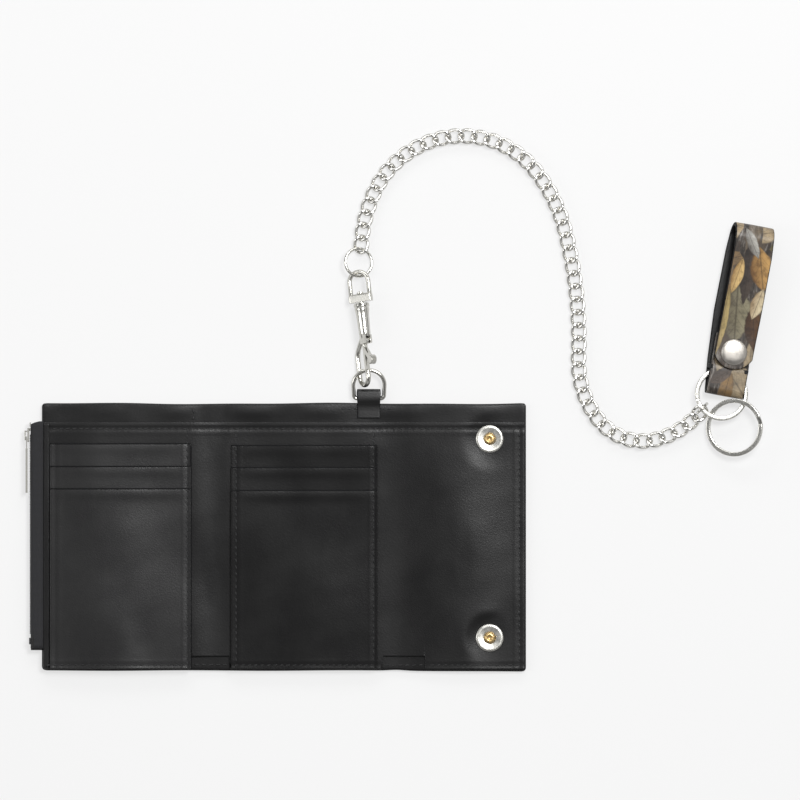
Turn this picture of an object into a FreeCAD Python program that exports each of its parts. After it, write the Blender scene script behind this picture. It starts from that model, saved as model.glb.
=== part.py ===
import FreeCAD, Part
import math
import os

# Trifold leather wallet laid open, with a snap hook, a curb chain, two split rings and a belt loop.
# Units are millimetres.  X runs along the open wallet, Y up its height, Z away from the table.
# The origin is the middle of the outer face of the middle panel, midway between the two folds.

V = FreeCAD.Vector
PARTS = "parts"

# ---------------------------------------------------------------- driving dimensions
FOLD_X = 41.8                 # distance of each fold line from the origin
FOLD_SLIT = 0.1               # half of the slit between two panels at a fold line
LEFT_EDGE = -116.2            # free edge of the left panel
RIGHT_EDGE = 96.8             # free edge of the snap flap
TOP = 58.8                    # upper edge of the shell, the mouth of the bill pocket
BOTTOM = -58.8
CORNER_R = 3.0
LINING_TOP = 50.6             # upper edge of the inner lining
LINING_BOTTOM = -58.2
SPINE_BOTTOM = -52.2          # the lining is cut shorter where the wallet folds
LEFT_SPINE = (-50.2, -33.4)   # the narrow fold between the left and middle panels
RIGHT_SPINE = (31.7, 52.4)    # the wide fold between the middle panel and the flap

LEATHER_T = 1.4               # outer leather
SHELL_LINING_T = 0.5          # lining glued to the inside of the outer leather
BILL_GAP = 0.4                # bill pocket, closed flat
SHEET_T = 0.5                 # inner lining and card pocket leather
SHEET_GAP = 0.1               # card slot, empty
COIN_WALL_T = 0.3

CARD_MOUTHS = (40.5, 30.6, 20.7)        # heights of the three card slot mouths
LEFT_CARDS = (-115.4, -50.8)
MIDDLE_CARDS = (-33.2, 31.4)

SNAP_X = 80.8                 # the two snaps on the flap
SNAP_Y = (43.1, -44.4)
SNAP_R = 6.15
POST_R = 2.2
SNAP_DISC_T = 0.6
SNAP_POST_OUT = 1.2           # height of the post above its disc
CAP_T = 0.9
SOCKET_HOLE_R = 2.4
SOCKET_X = SNAP_X - 4 * FOLD_X          # where the snaps land with both folds closed
DIMPLE_R = 1.2
HOLE_PLAY = 0.05              # leather holes are this much larger than what passes through

ZIP_X = -121.0                # outer face of the zip's folded tape
ZIP_Y = (-43.0, 51.0)
ZIP_Z = 2.75                  # height of the line where the two coils meet
TAPE_T = 0.3
TAPE_FLAT = 1.85              # the tapes' outer faces, from the zip's middle height
TAPE_WEB = 1.05               # the turned-in edges, from the same height
COIL_TOP = 45.4
COIL_Z = (0.35, 1.0)          # each coil, from the zip's middle height
TOP_STOP_Y = (48.6, 50.4)
END_TAB_Y = (-49.7, -43.1)
SLIDER_Y = (41.8, 47.9)
PULL_END = 19.4               # free end of the pull
PULL_PIN = V(-122.95, 44.0, ZIP_Z)
PULL_PIN_R = 0.27

TAB_X = (22.7, 32.7)          # leather tab that holds the D-ring
TAB_Y = (52.0, 63.6)          # sewn end, and where its outer end starts to round
TAB_TAIL_Z = (1.45, 2.2)
TAB_END_Z = (0.6, 3.8)
BAR_CENTRE = V(27.7, 61.0, 2.2)         # D-ring bar inside its leather tab
RING_WIRE_R = 0.9
RING_HALF_WIDTH = (6.6, 7.2)  # at the bar, and at the round end
RING_HEIGHT = 12.5
RING_TILT = 9.4               # degrees the D-ring leans up off the table
RING_PLAY = 0.08

HOOK_ORIGIN = V(24.3, 103.1, 5.18)      # middle of the swivel
HOOK_TURN = 6.5               # degrees about Z
HOOK_PITCH = 8.0              # degrees that the tip lies higher than the swivel
HOOK_ROLL = -60.0             # degrees about its own axis
HOOK_WIRE_R = 1.1
# (radius, height) of the barrel's outline along the hook's axis, from the swivel down
BARREL = ((0, -0.5), (3.4, -0.5), (3.5, -1.7), (3.1, -2.1), (3.3, -2.8), (2.9, -5.0), (2.55, -14.0),
          (2.1, -16.0), (0, -16.0))
CAVITY = (1.9, -3.5, 9.5)     # radius, start and length of the hollow that holds the spring
ARM_CORNERS = ((-0.7, -13.6), (-8.6, -21.5), (-8.6, -35.9), (-1.1, -35.9), (-1.1, -30.1))
ARM_RADII = (7.0, 4.1, 3.3)
EAR_Z = (1.05, 1.95)          # each ear that holds the gate's pin
PIVOT = V(0.4, -16.9, 0)      # gate pin
PIN_R = 0.6
GATE_HALF_T = 0.9
GATE_HUB_R = 1.5
THUMB = V(4.0, -26.0, 0)      # thumb disc on the gate's lever
THUMB_R = 1.75
THUMB_HALF_T = 1.2
EYE_HALF_WIDTH = 4.4
EYE_TOP = 13.7
EYE_WIRE_R = 1.0
BLOCK_Y = (0.3, 3.9)          # the eye's flat foot
# (radius, height) of the swivel's rivet, its outer head first
RIVET = ((0, 4.9), (0.9, 4.9), (1.5, 4.5), (1.5, 3.95), (1.05, 3.95), (1.05, -3.8), (1.7, -3.8),
         (1.7, -4.8), (0, -4.8))
SPRING_R = 1.45
SPRING_WIRE_R = 0.22
SPRING_START = -5.8
SPRING_PITCH = 1.3
SPRING_TURNS = 5
SPRING_STEPS = 12
EYE_ROLL = -21.1              # the eye leans the other way, so the jump ring threads it freely

JUMP_CENTRE = V(23.14, 120.83, 2.92)
JUMP_R = 6.15
JUMP_WIRE_R = 0.65
JUMP_ROLL = 19.6
JUMP_DIP = 4.7                # degrees that its far side lies lower

LINK_HALF_LENGTH = 3.7        # centre line of one curb link
LINK_HALF_WIDTH = 2.85
LINK_TWIST = 1.0              # how far the twisted wire leaves the link's plane
LINK_WIRE_R = 0.78
CHAIN_PITCH = 5.74
CHAIN_START = V(24.32, 128.7, 1.85)
CHAIN_HEADING = 86.6
LINKS_PER_RUN = 5
LINK_COUNT = 49
# degrees that each link turns from the one before it, one value for each run of links
RUN_BENDS = (-5.1, -7.7, -7.7, -8.1, -4.8, -1.7, -1.7, 7.9, 13.3, 8.9)

# the last link is lifted and tipped up where the end link picks it up
LAST_LINK_BACK = 0.34
LAST_LINK_LIFT = 0.65
LAST_LINK_PITCH = 12.2

END_LINK_CENTRE = V(174.42, 56.77, 4.79)
END_LINK_TURN = 46.3
END_LINK_DIP = 74.2           # degrees that its long axis dips toward the rings
END_LINK_ROLL = 92.9
END_LINK_HALF_LENGTH = 3.9
END_LINK_HALF_WIDTH = 2.2
END_LINK_CORNER_R = 2.15
END_LINK_WIRE_R = 0.7
SMALL_RING = dict(centre=V(182.8, 62.9, 4.8), r=10.8, tilt=7.9)
KEY_RING = dict(centre=V(188.48, 48.15, 5.18), r=11.8, tilt=-12.5)
COIL_W = 1.9                  # radial width of a split ring's flat wire
COIL_T = 1.05                 # height of one of its two turns

STRAP_ORIGIN = V(184.1, 63.3, 1.62)
STRAP_TURN = -10.3            # degrees about Z
STRAP_ROLL = 7.5
STRAP_W = 19.0
STRAP_LEATHER_T = 1.0
STRAP_LINING_T = 0.6
STRAP_LENGTH = 75.0
STRAP_FOLD_R = 4.25           # inside of the top fold
BACK_SHIFT = -2.2             # sideways, from the tongue's centre line
TAIL_SHIFT = -0.5
TAIL_W = 17.0                 # the end that folds back round the small ring is trimmed
LOW_FOLD_S = 1.6              # centre of the lower fold, up from the strap's origin
LOW_FOLD_R = 1.3              # inside of the lower fold
TAIL_DROP_S = (11.9, 14.4)    # where the tail comes down from the fold onto the back
TAIL_END = 26.0
LAYER_GAP = 0.1
KNOT_S = 10.7                 # the two thread knots that close the lower fold
KNOT_X = (-9.3, 7.4)
KNOT_HALF = (0.9, 0.8)
TONGUE_END = 10.9
TONGUE_BEND_S = 28.0
STUD_HEAD_R = 3.6
STUD_R = 1.7
SOCKET_R = 3.0
CAP_R = 5.8
SNAP_S = 18.4                 # belt loop snap, up from the strap's origin
TONGUE_N = 6.1                # inner face of the tongue where it snaps shut

# ---------------------------------------------------------------- worked-out heights
Z_LINING = LEATHER_T + SHELL_LINING_T
Z_INNER = Z_LINING + BILL_GAP
Z_CARDS = Z_INNER + SHEET_T + SHEET_GAP
Z_LEFT_COIN = Z_LINING + SHEET_GAP
Z_LEFT_INNER = Z_LEFT_COIN + 2 * COIN_WALL_T + 0.5
CARD_STEP = SHEET_T + SHEET_GAP
STRAP_T = STRAP_LEATHER_T + STRAP_LINING_T


# ---------------------------------------------------------------- helpers
def save(name, *solids):
    """Write one node: a single solid, or a group of identical ones."""
    shape = solids[0] if len(solids) == 1 else Part.makeCompound(list(solids))
    assert shape.isValid(), name
    shape.exportStep(os.path.join(PARTS, name + ".step"))


def slab(x, y, z):
    return Part.makeBox(x[1] - x[0], y[1] - y[0], z[1] - z[0], V(x[0], y[0], z[0]))


def disc(x, y, z, r):
    return Part.makeCylinder(r, z[1] - z[0], V(x, y, z[0]))


def prism(points, direction):
    """Extrude a closed outline given by its corner points."""
    return Part.Face(Part.makePolygon(points + points[:1])).extrude(direction)


def rounded(solid, corners, r):
    """Round the upright edges that stand at the given (x, y) corners."""
    edges = [
        e for e in solid.Edges
        if abs(e.tangentAt(e.FirstParameter).z) > 0.99
        and any(math.hypot(e.CenterOfMass.x - x, e.CenterOfMass.y - y) < 0.01 for x, y in corners)
    ]
    return solid.makeFillet(r, edges)


def corner_arc(before, at, after, radius):
    """Start, middle and end of the arc that rounds the corner `at`."""
    back = (before - at).normalize()
    on = (after - at).normalize()
    half = back.getAngle(on) / 2
    bisector = (back + on).normalize()
    centre = at + bisector * (radius / math.sin(half))
    reach = radius / math.tan(half)
    return at + back * reach, centre - bisector * radius, at + on * reach


def rounded_path(points, radii, closed=False):
    """A wire of straight runs joined by tangent arcs, one radius for each inner corner."""
    n = len(points)
    corners = range(n) if closed else range(1, n - 1)
    arcs = [corner_arc(points[i - 1], points[i], points[(i + 1) % n], r) for i, r in zip(corners, radii)]
    edges = []
    at = arcs[-1][2] if closed else points[0]
    for start, middle, end in arcs:
        if (start - at).Length > 1e-4:
            edges.append(Part.makeLine(at, start))
        edges.append(Part.Arc(start, middle, end).toShape())
        at = end
    if not closed and (points[-1] - at).Length > 1e-4:
        edges.append(Part.makeLine(at, points[-1]))
    return Part.Wire(edges)


def tube(path, r):
    """A round bar that follows a path."""
    first = path.Edges[0]
    at = first.valueAt(first.FirstParameter)
    along = first.tangentAt(first.FirstParameter)
    section = Part.Wire(Part.makeCircle(r, at, along))
    return path.makePipeShell([section], True, True)


def placed(shape, position, *turns):
    """Turn a shape about the origin, last turn first, then move it. A turn is (axis, degrees)."""
    rotation = FreeCAD.Rotation()
    for axis, degrees in turns:
        rotation = rotation.multiply(FreeCAD.Rotation(axis, degrees))
    out = shape.copy()
    out.Placement = FreeCAD.Placement(position, rotation)
    return out


X_AXIS, Y_AXIS, Z_AXIS = V(1, 0, 0), V(0, 1, 0), V(0, 0, 1)


# ---------------------------------------------------------------- wallet shell
def panel_sheet(x, z, top, bottom, notch=None, notch_bottom=None):
    """A flat sheet of one panel, with its lower edge cut shorter over the notch's width."""
    sheet = slab(x, (bottom, top), z)
    if notch:
        sheet = sheet.cut(slab(notch, (bottom - 1, notch_bottom), (z[0] - 1, z[1] + 1)))
    return sheet


def build_shell():
    spans = {
        "left": (LEFT_EDGE, -FOLD_X - FOLD_SLIT),
        "middle": (-FOLD_X + FOLD_SLIT, FOLD_X - FOLD_SLIT),
        "flap": (FOLD_X + FOLD_SLIT, RIGHT_EDGE),
    }
    free_edge = {"left": LEFT_EDGE, "flap": RIGHT_EDGE}
    tab_slot = slab((TAB_X[0] - 0.2, TAB_X[1] + 0.2), (TAB_Y[0] - 0.2, TOP + 1),
                    (LEATHER_T - 0.1, Z_LINING + 0.1))
    for name, x in spans.items():
        leather = slab(x, (BOTTOM, TOP), (0, LEATHER_T))
        lining = slab(x, (BOTTOM, TOP), (LEATHER_T, Z_LINING))
        if name in free_edge:
            corners = [(free_edge[name], TOP), (free_edge[name], BOTTOM)]
            leather = rounded(leather, corners, CORNER_R)
            lining = rounded(lining, corners, CORNER_R)
        if name == "left":
            for y in SNAP_Y:
                leather = leather.cut(disc(SOCKET_X, y, (-1, 2), SNAP_R + HOLE_PLAY))
        if name == "flap":
            for y in SNAP_Y:
                leather = leather.cut(disc(SNAP_X, y, (-1, CAP_T), SNAP_R + 2 * HOLE_PLAY))
                leather = leather.cut(disc(SNAP_X, y, (0, 2), POST_R + HOLE_PLAY))
                lining = lining.cut(disc(SNAP_X, y, (1, 3), POST_R + HOLE_PLAY))
        if name == "middle":
            lining = lining.cut(tab_slot)
        save("outer_leather_" + name, leather)
        save("shell_lining_" + name, lining)


def build_inner_lining():
    left = panel_sheet((LEFT_EDGE + 0.4, -FOLD_X - FOLD_SLIT), (Z_LEFT_INNER, Z_LEFT_INNER + SHEET_T),
                       LINING_TOP, LINING_BOTTOM, (LEFT_SPINE[0], -FOLD_X + 1), SPINE_BOTTOM)
    z = (Z_INNER, Z_INNER + SHEET_T)
    middle = panel_sheet((-FOLD_X + FOLD_SLIT, FOLD_X - FOLD_SLIT), z, LINING_TOP, LINING_BOTTOM,
                         (-FOLD_X - 1, LEFT_SPINE[1]), SPINE_BOTTOM)
    middle = middle.cut(slab((RIGHT_SPINE[0] + 2, FOLD_X + 1), (BOTTOM - 1, SPINE_BOTTOM), (0, 9)))
    flap = panel_sheet((FOLD_X + FOLD_SLIT, RIGHT_EDGE - 0.4), z, LINING_TOP, LINING_BOTTOM,
                       (FOLD_X - 1, RIGHT_SPINE[1]), SPINE_BOTTOM)
    for y in SNAP_Y:
        flap = flap.cut(disc(SNAP_X, y, (0, 9), POST_R + HOLE_PLAY))
    save("inner_lining_left", left)
    save("inner_lining_middle", middle)
    save("inner_lining_flap", flap)


def build_card_pockets():
    bases = {
        "left": (LEFT_CARDS, Z_LEFT_INNER + SHEET_T + SHEET_GAP),
        "middle": (MIDDLE_CARDS, Z_CARDS),
    }
    for name, (x, base) in bases.items():
        for i, mouth in enumerate(CARD_MOUTHS):
            z = base + i * CARD_STEP
            pocket = slab(x, (LINING_BOTTOM + 0.2, mouth), (z, z + SHEET_T - 0.05))
            save("card_pocket_%s_%d" % (name, i + 1), pocket)


def build_coin_pocket():
    x = (LEFT_EDGE + 0.3, LEFT_SPINE[0])
    y = (LINING_BOTTOM + 0.4, LINING_TOP)
    save("coin_pocket_back", slab(x, y, (Z_LEFT_COIN, Z_LEFT_COIN + COIN_WALL_T)))
    front = Z_LEFT_INNER - SHEET_GAP
    save("coin_pocket_front", slab(x, y, (front - COIN_WALL_T, front)))


# ---------------------------------------------------------------- zip
def build_zip():
    """The zip's tapes leave the panel edge flat and turn in to the coils, which face outward."""
    inner_edge = LEFT_EDGE - 0.05
    length = V(0, ZIP_Y[1] - ZIP_Y[0], 0)
    y = ZIP_Y[0]
    for name, side in (("upper", 1), ("lower", -1)):
        flat = ZIP_Z + TAPE_FLAT * side
        web = ZIP_Z + TAPE_WEB * side
        underside = flat - TAPE_T * side
        outline = [
            V(inner_edge, y, flat), V(ZIP_X, y, flat), V(ZIP_X, y, web), V(ZIP_X + TAPE_T, y, web),
            V(ZIP_X + TAPE_T, y, underside), V(inner_edge, y, underside),
        ]
        save("zip_tape_" + name, prism(outline, length))
    coil_x = (ZIP_X - 0.4, ZIP_X + 0.8)
    coil_y = (ZIP_Y[0], COIL_TOP)
    coils = [slab(coil_x, coil_y, (ZIP_Z + COIL_Z[0], ZIP_Z + COIL_Z[1])),
             slab(coil_x, coil_y, (ZIP_Z - COIL_Z[1], ZIP_Z - COIL_Z[0]))]
    save("zip_coils", *coils)
    save("zip_top_stop", slab((ZIP_X - 0.6, ZIP_X - 0.05), TOP_STOP_Y, (ZIP_Z - 1.6, ZIP_Z + 1.6)))
    save("zip_end_tab", slab((ZIP_X, inner_edge), END_TAB_Y, (ZIP_Z - 1.55, ZIP_Z + 1.65)))
    build_slider_and_pull()


def build_slider_and_pull():
    """Two plates joined by a post, with a bail outside that the pull's pin hangs in."""
    outer = slab((ZIP_X - 1.6, ZIP_X - 0.8), SLIDER_Y, (ZIP_Z - 2.05, ZIP_Z + 2.05))
    inner = slab((ZIP_X + 1.1, ZIP_X + 1.9), SLIDER_Y, (ZIP_Z - 1.25, ZIP_Z + 1.25))
    post = slab((ZIP_X - 0.9, ZIP_X + 1.2), (SLIDER_Y[1] - 1.2, SLIDER_Y[1]), (ZIP_Z - 0.2, ZIP_Z + 0.2))
    bail = slab((ZIP_X - 2.9, ZIP_X - 1.5), (42.6, 46.8), (ZIP_Z - 0.4, ZIP_Z + 0.4))
    bail = bail.cut(slab((ZIP_X - 2.3, ZIP_X - 1.6), (43.2, 46.2), (ZIP_Z - 1, ZIP_Z + 1)))
    save("zip_slider", outer.fuse([inner, post, bail]).removeSplitter())

    pin = Part.makeCylinder(PULL_PIN_R, 2.9, PULL_PIN - V(0, 0, 1.45))
    x = PULL_PIN.x
    arms = [slab((x - 0.25, x + 0.25), (38.4, PULL_PIN.y + 0.2), (ZIP_Z + z, ZIP_Z + z + 0.5))
            for z in (-1.45, 0.95)]
    blade = slab((x - 0.45, x + 0.45), (PULL_END, 39.0), (ZIP_Z - 1.55, ZIP_Z + 1.55))
    save("zip_pull", pin.fuse(arms + [blade]).removeSplitter())


# ---------------------------------------------------------------- snaps
def build_snaps():
    disc_z = (Z_INNER + SHEET_T, Z_INNER + SHEET_T + SNAP_DISC_T)
    sockets, caps, discs, posts = [], [], [], []
    for y in SNAP_Y:
        socket = disc(SOCKET_X, y, (0, LEATHER_T), SNAP_R)
        sockets.append(socket.cut(disc(SOCKET_X, y, (-1, 3), SOCKET_HOLE_R)))
        caps.append(disc(SNAP_X, y, (0, CAP_T), SNAP_R))
        discs.append(disc(SNAP_X, y, disc_z, SNAP_R).cut(disc(SNAP_X, y, (0, 9), POST_R + HOLE_PLAY)))
        post = disc(SNAP_X, y, (CAP_T, disc_z[1] + SNAP_POST_OUT), POST_R)
        dimple = Part.makeSphere(DIMPLE_R, V(SNAP_X, y, disc_z[1] + SNAP_POST_OUT + DIMPLE_R / 2))
        posts.append(post.cut(dimple))
    save("snap_sockets", *sockets)
    save("snap_caps", *caps)
    save("snap_discs", *discs)
    save("snap_posts", *posts)


# ---------------------------------------------------------------- ring tab and D-ring
def build_tab_and_ring():
    tail, end = TAB_TAIL_Z, TAB_END_Z
    middle = (end[0] + end[1]) / 2
    under = [(TAB_Y[0], tail[0]), (58.9, tail[0]), (59.3, end[0]), (TAB_Y[1], end[0])]
    over = [(TAB_Y[1], end[1]), (59.3, end[1]), (58.6, tail[1]), (TAB_Y[0], tail[1])]
    tip = (TAB_Y[1] + (end[1] - end[0]) / 2, middle)
    lines = list(zip(under, under[1:])) + list(zip(over, over[1:] + under[:1]))
    x = TAB_X[0]
    edges = [Part.makeLine(V(x, *a), V(x, *b)) for a, b in lines]
    edges.append(Part.Arc(V(x, *under[-1]), V(x, *tip), V(x, *over[0])).toShape())
    outline = Part.Wire(Part.__sortEdges__(edges))
    tab = Part.Face(outline).extrude(V(TAB_X[1] - TAB_X[0], 0, 0))
    tunnel = Part.makeCylinder(RING_WIRE_R + RING_PLAY, 20, V(20, BAR_CENTRE.y, BAR_CENTRE.z), X_AXIS)
    save("ring_tab", tab.cut(tunnel))

    bar, crown = RING_HALF_WIDTH
    h = RING_HEIGHT
    corners = [V(-bar, 0, 0), V(bar, 0, 0), V(crown, h, 0), V(-crown, h, 0)]
    ring = tube(rounded_path(corners, (1.6, 1.6, 6.6, 6.6), closed=True), RING_WIRE_R)
    save("d_ring", placed(ring, BAR_CENTRE, (X_AXIS, RING_TILT)))


# ---------------------------------------------------------------- snap hook
HOOK_TURNS = ((Z_AXIS, HOOK_TURN), (X_AXIS, -HOOK_PITCH), (Y_AXIS, HOOK_ROLL))
EYE_TURNS = ((Z_AXIS, HOOK_TURN), (X_AXIS, -HOOK_PITCH), (Y_AXIS, EYE_ROLL))


def turned(profile):
    """A solid of revolution about the Y axis from (radius, height) points."""
    points = [V(r, y, 0) for r, y in profile]
    return Part.Face(Part.makePolygon(points + points[:1])).revolve(V(0, 0, 0), Y_AXIS, 360)


def save_hook(name, shape, turns=HOOK_TURNS):
    save(name, placed(shape, HOOK_ORIGIN, *turns))


def build_hook():
    """The hook lies along its own Y axis: the eye above zero, the barrel and hook below."""
    barrel = turned(BARREL)
    stem_bore = Part.makeCylinder(1.15, 4, V(0, 0, 0), V(0, -1, 0))
    cavity_r, cavity_start, cavity_length = CAVITY
    cavity = Part.makeCylinder(cavity_r, cavity_length, V(0, cavity_start, 0), V(0, -1, 0))
    arm = tube(rounded_path([V(x, y, 0) for x, y in ARM_CORNERS], ARM_RADII), HOOK_WIRE_R)
    low, high = EAR_Z
    ears = [slab((-1.6, 2.4), (-18.3, -14.6), z) for z in ((low, high), (-high, -low))]
    body = barrel.fuse([arm] + ears).cut(stem_bore).cut(cavity)
    slot = slab((-3.2, 3.2), (-19.0, -15.2), (-low, low)).cut(
        Part.makeCylinder(2.6, 3, V(-4.6, -17.4, -1.5)))
    body = body.cut(slot).cut(pin_hole(PIN_R + 0.02)).removeSplitter()
    save_hook("hook_body", max(body.Solids, key=lambda s: s.Volume))
    save_hook("gate_pin", Part.makeCylinder(PIN_R, 2 * high, PIVOT - V(0, 0, high)))

    t = GATE_HALF_T
    gate = slab((-1.85, -0.35), (-29.7, -17.5), (-t, t))
    hub = Part.makeCylinder(GATE_HUB_R, 2 * t, PIVOT - V(0, 0, t))
    lever = prism([V(-0.6, -19.5, -t), V(4.1, -25.4, -t), V(3.2, -27.0, -t), V(-0.6, -22.5, -t)],
                  V(0, 0, 2 * t))
    thumb = Part.makeCylinder(THUMB_R, 2 * THUMB_HALF_T, THUMB - V(0, 0, THUMB_HALF_T))
    gate = gate.fuse([hub, lever, thumb]).cut(pin_hole(PIN_R + 0.06))
    save_hook("hook_gate", gate.removeSplitter())

    curve = Part.BSplineCurve()
    steps = range(SPRING_TURNS * SPRING_STEPS + 1)
    curve.interpolate([spring_point(k / SPRING_STEPS) for k in steps])
    save_hook("gate_spring", tube(Part.Wire(curve.toShape()), SPRING_WIRE_R))


def pin_hole(radius):
    return Part.makeCylinder(radius, 6, PIVOT - V(0, 0, 3))


def spring_point(turns):
    angle = 2 * math.pi * turns
    y = SPRING_START - SPRING_PITCH * turns
    return V(SPRING_R * math.cos(angle), y, SPRING_R * math.sin(angle))


def build_swivel():
    w, foot = EYE_HALF_WIDTH, 2.4
    arch = rounded_path([V(-w, foot, 0), V(-w, EYE_TOP, 0), V(w, EYE_TOP, 0), V(w, foot, 0)],
                        (w - 0.05, w - 0.05))
    block = slab((-5.3, 5.3), BLOCK_Y, (-1.7, 1.7))
    block = block.makeFillet(0.8, [e for e in block.Edges if e.CenterOfMass.y > BLOCK_Y[0] + 0.01])
    hole = Part.makeCylinder(1.1, 9, V(0, -2, 0), Y_AXIS)
    save_hook("swivel_eye", tube(arch, EYE_WIRE_R).fuse(block).cut(hole).removeSplitter(), EYE_TURNS)
    save_hook("swivel_rivet", turned(RIVET), EYE_TURNS)


def build_jump_ring():
    ring = Part.makeTorus(JUMP_R, JUMP_WIRE_R)
    turns = ((Z_AXIS, HOOK_TURN), (X_AXIS, -JUMP_DIP), (Y_AXIS, JUMP_ROLL))
    save("jump_ring", placed(ring, JUMP_CENTRE, *turns))


# ---------------------------------------------------------------- chain
def link_solid():
    """One curb link: an oval whose wire rises and dips twice on its way round."""
    count = 16
    points = []
    for i in range(count):
        t = 2 * math.pi * i / count
        points.append(V(LINK_HALF_LENGTH * math.cos(t), LINK_HALF_WIDTH * math.sin(t),
                        LINK_TWIST * math.sin(2 * t)))
    curve = Part.BSplineCurve()
    curve.interpolate(points, PeriodicFlag=True)
    start, end = curve.FirstParameter, curve.LastParameter
    middle = (start + end) / 2
    halves = [tube(Part.Wire(curve.toShape(*span)), LINK_WIRE_R) for span in ((start, middle), (middle, end))]
    return halves[0].fuse(halves[1]).Solids[0]


def chain_places():
    """Centre and heading of every link, walked along the route."""
    heading = CHAIN_HEADING
    at = V(CHAIN_START)
    places = [(V(at), heading)]
    for k in range(1, LINK_COUNT):
        bend = RUN_BENDS[k // LINKS_PER_RUN]
        heading += bend / 2
        angle = math.radians(heading)
        at = at + V(math.cos(angle), math.sin(angle), 0) * CHAIN_PITCH
        heading += bend / 2
        places.append((V(at), heading))
    return places


def last_link(link, at, heading):
    angle = math.radians(heading)
    back = V(math.cos(angle), math.sin(angle), 0) * LAST_LINK_BACK
    return placed(link, at - back + V(0, 0, LAST_LINK_LIFT), (Z_AXIS, heading), (Y_AXIS, -LAST_LINK_PITCH))


def build_chain():
    link = link_solid()
    places = chain_places()
    for run in range(len(RUN_BENDS)):
        group = places[run * LINKS_PER_RUN:(run + 1) * LINKS_PER_RUN]
        links = [placed(link, at, (Z_AXIS, h)) for at, h in group]
        if run == len(RUN_BENDS) - 1:
            links[-1] = last_link(link, *group[-1])
        save("chain_run_%02d" % (run + 1), *links)

    a, b, r = END_LINK_HALF_LENGTH, END_LINK_HALF_WIDTH, END_LINK_CORNER_R
    corners = [V(-a, -b, 0), V(a, -b, 0), V(a, b, 0), V(-a, b, 0)]
    end_link = tube(rounded_path(corners, (r, r, r, r), closed=True), END_LINK_WIRE_R)
    save("chain_end_link", placed(end_link, END_LINK_CENTRE, (Z_AXIS, END_LINK_TURN),
                                  (Y_AXIS, END_LINK_DIP), (X_AXIS, END_LINK_ROLL)))


# ---------------------------------------------------------------- split rings
def split_ring(r):
    """Two flat turns of wire, one on the other, that step past each other at a short ramp."""
    inner, outer = r - COIL_W / 2, r + COIL_W / 2
    band = Part.makeCylinder(outer, 2 * COIL_T, V(0, 0, -COIL_T))
    band = band.cut(Part.makeCylinder(inner, 4 * COIL_T, V(0, 0, -2 * COIL_T)))
    round_edges = [e for e in band.Edges if abs(e.Length - 2 * math.pi * outer) < 0.01]
    band = band.makeFillet(0.35, round_edges)
    groove = Part.makeCylinder(outer + 1, 0.14, V(0, 0, -0.07))
    groove = groove.cut(Part.makeCylinder(outer - 0.35, 1, V(0, 0, -0.5)))
    return band.cut(groove)


def build_rings():
    for name, ring in (("small_split_ring", SMALL_RING), ("key_ring", KEY_RING)):
        save(name, placed(split_ring(ring["r"]), ring["centre"], (Y_AXIS, ring["tilt"])))


# ---------------------------------------------------------------- belt loop
STRAP_TURNS = ((Z_AXIS, STRAP_TURN), (Y_AXIS, STRAP_ROLL))


def strap_piece(outline, shift=0.0, width=STRAP_W):
    """Extrude a side outline of (s, n) points across the strap; s runs up it, n away from the table."""
    points = [V(shift - width / 2, s, n) for s, n in outline]
    return prism(points, V(width, 0, 0))


def save_strap(name, *shapes):
    save(name, *[placed(s, STRAP_ORIGIN, *STRAP_TURNS) for s in shapes])


def fold_band(inner, outer, centre_s, centre_n, shift, width, upward):
    """Half of a tube across the strap, on the side of +s or of -s."""
    axis_start = V(shift - width / 2, centre_s, centre_n)
    band = Part.makeCylinder(outer, width, axis_start, X_AXIS)
    band = band.cut(Part.makeCylinder(inner, width, axis_start, X_AXIS))
    s = (centre_s, centre_s + 2 * outer) if upward else (centre_s - 2 * outer, centre_s)
    return band.common(slab((-STRAP_W, STRAP_W), s, (centre_n - 2 * outer, centre_n + 2 * outer)))


def strap_knots(height):
    """Thread bartacks that wrap both edges of the strap just above the small ring."""
    across, along = KNOT_HALF
    s = (KNOT_S - along, KNOT_S + along)
    return [slab((x - across, x + across), s, (0.2, height)) for x in KNOT_X]


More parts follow.
